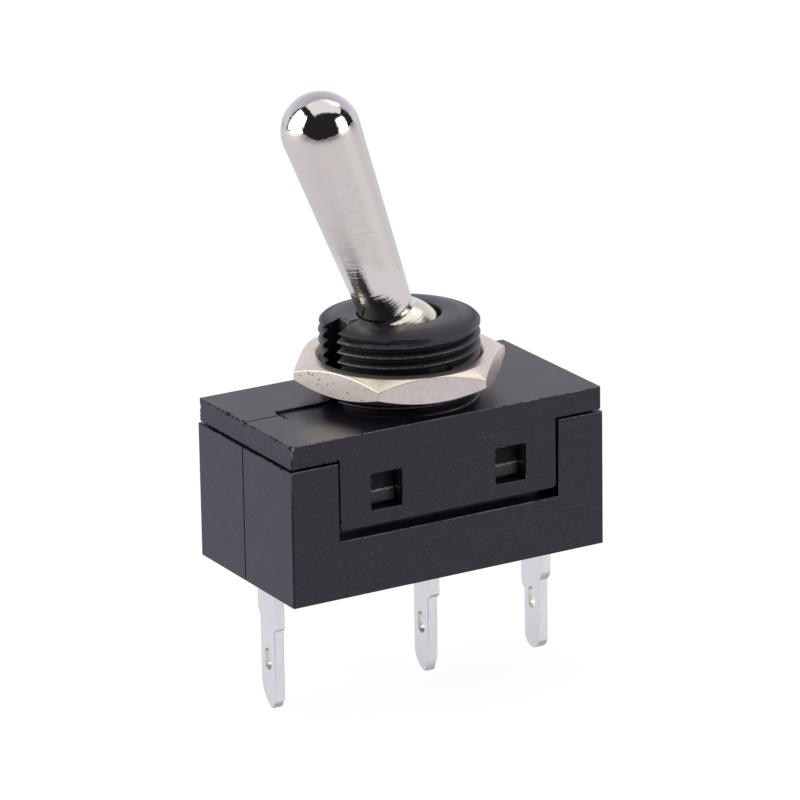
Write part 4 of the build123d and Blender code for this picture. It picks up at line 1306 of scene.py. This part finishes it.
def chip_left(chips, y_from, y_to, sizes, gap, height=0.0):
    """Chip a level edge of the left end."""
    chip_edge(chips, (LEFT_END, y_from, height), (LEFT_END, y_to, height), sizes, gap)


def chip_front(chips, x_from, x_to, height, sizes, gap):
    """Chip a level edge of the front."""
    chip_edge(chips, (x_from, FRONT_FACE, height), (x_to, FRONT_FACE, height), sizes, gap)


def chip_upright(chips, x, y, heights, sizes, gap):
    """Chip an upright edge."""
    chip_edge(chips, (x, y, heights[0]), (x, y, heights[1]), sizes, gap)


chips = bmesh.new()
chip_left(chips, 5.9, 4.6, (0.14, 0.26), 0.2)
chip_left(chips, 4.3, 1.4, (0.14, 0.50), 0.10)
chip_left(chips, 0.9, -0.3, (0.18, 0.52), 0.05)
chip_left(chips, -0.6, -6.2, (0.08, 0.30), 0.12)
chip(chips, (LEFT_END + 0.02, FRONT_FACE, -0.02), 0.6)
chip_upright(chips, LEFT_END, -FRONT_FACE, (-0.3, -1.5), (0.2, 0.36), 0.2)
chip_left(chips, 6.2, -6.3, (0.1, 0.2), 0.7, PLATE_UNDER)
chip_front(chips, LEFT_END + 0.4, -FLAP_HALF - 0.2, PLATE_UNDER, (0.12, 0.26), 0.05)
chip_front(chips, -12.3, -7.7, 0, (0.08, 0.14), 0.7)
chip_front(chips, -7.45, -6.9, 0, (0.20, 0.32), 0.02)
chip_front(chips, -6.4, 12.4, 0, (0.06, 0.12), 1.6)
chip_edge(chips, (GROOVE_END, 0.75, 0), (GROOVE_END, -1.0, 0), (0.34, 0.62), 0.02)
chip_edge(chips, (-9.0, -1.0, 0), (-7.7, -1.0, 0), (0.14, 0.26), 0.2)
chip_upright(chips, -FLAP_HALF, FRONT_FACE, (-2.4, FLAP_BOTTOM + 0.3), (0.08, 0.18), 0.6)
chip_front(chips, -FLAP_HALF + 0.4, FLAP_HALF - 0.4, FLAP_BOTTOM, (0.05, 0.11), 1.5)
for middle in (-WINDOW_MIDDLE, WINDOW_MIDDLE):
    left = middle - WINDOW_HALF
    right = middle + WINDOW_HALF
    low = WINDOW_BOTTOM + 0.2
    chip_front(chips, left + 0.2, right - 0.3, WINDOW_TOP, (0.12, 0.22), 0.15)
    chip_upright(chips, left, FRONT_FACE, (WINDOW_TOP - 0.2, low), (0.08, 0.17), 0.25)
    chip_upright(chips, right, FRONT_FACE, (WINDOW_TOP - 0.3, low), (0.07, 0.14), 0.5)
between = bmesh.new()
chip_left(between, 4.1, 1.6, (0.10, 0.36), 0.25)
chip_left(between, 0.7, -0.2, (0.2, 0.4), 0.03)
chip_left(between, -0.9, -6.0, (0.07, 0.24), 0.35)
groove_x = GROOVE_END + 0.05
chip_edge(between, (groove_x, 0.45, 0), (groove_x, -1.0, 0), (0.25, 0.45), 0.02)
chip_edge(
    between, (GROOVE_END + 0.3, -0.95, 0), (GROOVE_END + 1.0, -0.95, 0), (0.2, 0.35), 0.05
)
print("chips", (len(chips.faces) + len(between.faces)) // 6)

# %% Chips and pits cut away
BROKEN_BARS = [
    ((GROOVE_END - 0.2, -1.1, -0.6), (GROOVE_END + 0.03, 1.0, 0.1), 12, 0.05),
    ((GROOVE_END - 0.05, -1.2, -0.6), (GROOVE_END + 1.1, -0.94, 0.1), 8, 0.07),
    ((LEFT_END - 0.1, -0.02, -0.3), (GROOVE_END - 0.1, 0.13, 0.1), 24, 0.03),
]

cover_skin = carve(cover_skin, chips)
cover_skin = carve(cover_skin, between)
for low, high, cuts, wander in BROKEN_BARS:
    cover_skin = carve(cover_skin, ragged_bar(low, high, cuts, wander))
print("cover", len(cover_skin.faces), "faces after the breaks")

# %% [markdown]
# Now the bushing goes on and everything that passes through it is cut: the thread, the
# slots for the pivot pin and the keyway. The keyway's floor isn't quite square to its
# walls, and its front inner corner is filled.

# %% Bushing, thread and keyway
blank = carve(blank, thread_tool)
cover_skin = carve(cover_skin, blank, "UNION")

pin_slot = block(
    (-PIN_SLOT_HALF_WIDTH, -PIN_SLOT_REACH, MOUTH_BOTTOM - 1),
    (PIN_SLOT_HALF_WIDTH, PIN_SLOT_REACH, pivot.z),
)
cover_skin = carve(cover_skin, pin_slot)
cover_skin = carve(cover_skin, cross_rod(PIN_SLOT_HALF_WIDTH, 2 * PIN_SLOT_REACH))

keyway_floor = BUSHING_RADIUS - KEYWAY_DEPTH
keyway = block(
    (-BUSHING_RADIUS - 0.4, -KEYWAY_WIDTH / 2, -GROOVE_DEPTH),
    (-keyway_floor, KEYWAY_WIDTH / 2, bushing_top + 1),
)
inner_edge = [
    edge
    for edge in keyway.edges
    if all(point.co.x > -BUSHING_RADIUS and point.co.y < 0 for point in edge.verts)
]
for point in inner_edge[0].verts:
    point.co.x -= KEYWAY_FLOOR_SLANT
bevel_edges(keyway, inner_edge, KEYWAY_CORNER, 1)
cover_skin = carve(cover_skin, keyway)
print("cover", len(cover_skin.faces), "faces with its bushing")

# %% [markdown]
# The bushing has marks of its own. One short notch is cut in the thread at the front,
# a few chips lie round the keyway's upper edge, and a flash line crosses the top face.

# %% Marks on the bushing
NOTCH_HALF_WIDTH = 0.8
NOTCH_FLOOR = 5.42
NOTCH_LOW = 3.05
NOTCH_HIGH = 3.48
NOTCH_TURN = radians(1.5)
FLASH_HALF_LENGTH = 0.85
FLASH_HALF_WIDTH = 0.035
FLASH_ANGLE = atan2(0.75, 1.39)
FLASH_MIDDLE = (-3.83, -0.2, bushing_top)

marks = block(
    (-NOTCH_HALF_WIDTH, -BUSHING_RADIUS - 0.1, NOTCH_LOW),
    (NOTCH_HALF_WIDTH, -NOTCH_FLOOR, NOTCH_HIGH),
)
turn_about(marks, NOTCH_TURN, "Z")
chip_edge(marks, (-5.6, -1.05, bushing_top), (-4.9, -1.05, bushing_top), (0.08, 0.14), 0.1)
chip(marks, (-keyway_floor + 0.02, KEYWAY_WIDTH / 2 - 0.05, bushing_top), 0.22)
chip(marks, (-4.13, 0.61, bushing_top), 0.16, (1.8, 1, 0.6))
cover_skin = carve(cover_skin, marks)
flash_line = ragged_bar(
    (-FLASH_HALF_LENGTH, -FLASH_HALF_WIDTH, -0.06),
    (FLASH_HALF_LENGTH, FLASH_HALF_WIDTH, 0.1),
    14,
    0.02,
)
turn_about(flash_line, FLASH_ANGLE, "Z")
shift(flash_line, FLASH_MIDDLE)
cover_skin = carve(cover_skin, flash_line)
bmesh.ops.remove_doubles(cover_skin, verts=cover_skin.verts, dist=0.0008)
finish_piece("cover_dressed", cover_skin, "housing", "black_plastic", ["cover_housing"])

# %% [markdown]
# The base and the terminals keep their solids' forms too. Their edges are softened: the
# base's as a moulding's, the terminals' as stamped strip that has been tumbled and tinned.
# The base has a few chips of its own, and the line of its mould runs down the left end.

# %% Base and terminals
BASE_SOFT_EDGE = 0.05
BASE_LEFT = base_low.x
BASE_FRONT = base_low.y
SEAM = base_high.z
RECESS_LEDGE = -7.75
TERMINAL_SOFT_EDGE = 0.05

base_skin = welded_copy("base_housing")
print("base edges softened", soften(base_skin, BASE_SOFT_EDGE))
base_chips = bmesh.new()
chip_edge(base_chips, (BASE_LEFT, 6.0, SEAM), (BASE_LEFT, -6.2, SEAM), (0.1, 0.22), 0.8)
chip_edge(base_chips, (-12.6, BASE_FRONT, SEAM), (-9.5, BASE_FRONT, SEAM), (0.05, 0.11), 0.8)
ledge_left = (-8.8, BASE_FRONT, RECESS_LEDGE)
ledge_right = (8.6, BASE_FRONT, RECESS_LEDGE)
chip_edge(base_chips, ledge_left, ledge_right, (0.04, 0.09), 1.4)
base_skin = carve(base_skin, base_chips)
end_line = ragged_bar(
    (BASE_LEFT - 0.1, 0.11, base_low.z - 0.1), (BASE_LEFT + 0.3, 0.28, SEAM + 0.1), 60, 0.012
)
base_skin = carve(base_skin, end_line)
finish_piece("base_dressed", base_skin, "housing", "black_plastic", ["base_housing"])
for side in ("left", "centre", "right"):
    node_name = f"terminal_{side}"
    blade = welded_copy(node_name)
    soften(blade, TERMINAL_SOFT_EDGE)
    finish_piece(f"{node_name}_dressed", blade, "housing", "tinned_brass", [node_name])

# %% [markdown]
# The pieces inside can't be seen until the switch is opened. They are dressed the same
# way as the terminals, and the larger ones have softened edges.

# %% Inner pieces
INNER_FINISHES = {
    "pivot_pin": ("bare_steel", 0.0),
    "plunger": ("plunger_nylon", 0.06),
    "plunger_spring": ("bare_steel", 0.0),
    "rocker_contact": ("copper_alloy", 0.04),
    "moving_contact_left": ("contact_silver", 0.0),
    "moving_contact_right": ("contact_silver", 0.0),
    "fixed_contact_left": ("contact_silver", 0.0),
    "fixed_contact_right": ("contact_silver", 0.0),
    "centre_saddle": ("copper_alloy", 0.04),
    "saddle_rivet": ("copper_alloy", 0.0),
}

inner_pieces = {}
for node_name, (slot_name, round_size) in INNER_FINISHES.items():
    skin = welded_copy(node_name)
    if round_size:
        soften(skin, round_size)
    body = None if node_name == "plunger_spring" else body_of(node_name)
    piece = finish_piece(f"{node_name}_dressed", skin, body, slot_name, [node_name])
    inner_pieces[node_name] = piece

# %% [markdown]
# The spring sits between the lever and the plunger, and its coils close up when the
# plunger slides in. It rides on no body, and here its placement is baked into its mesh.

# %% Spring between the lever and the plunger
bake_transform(inner_pieces["plunger_spring"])
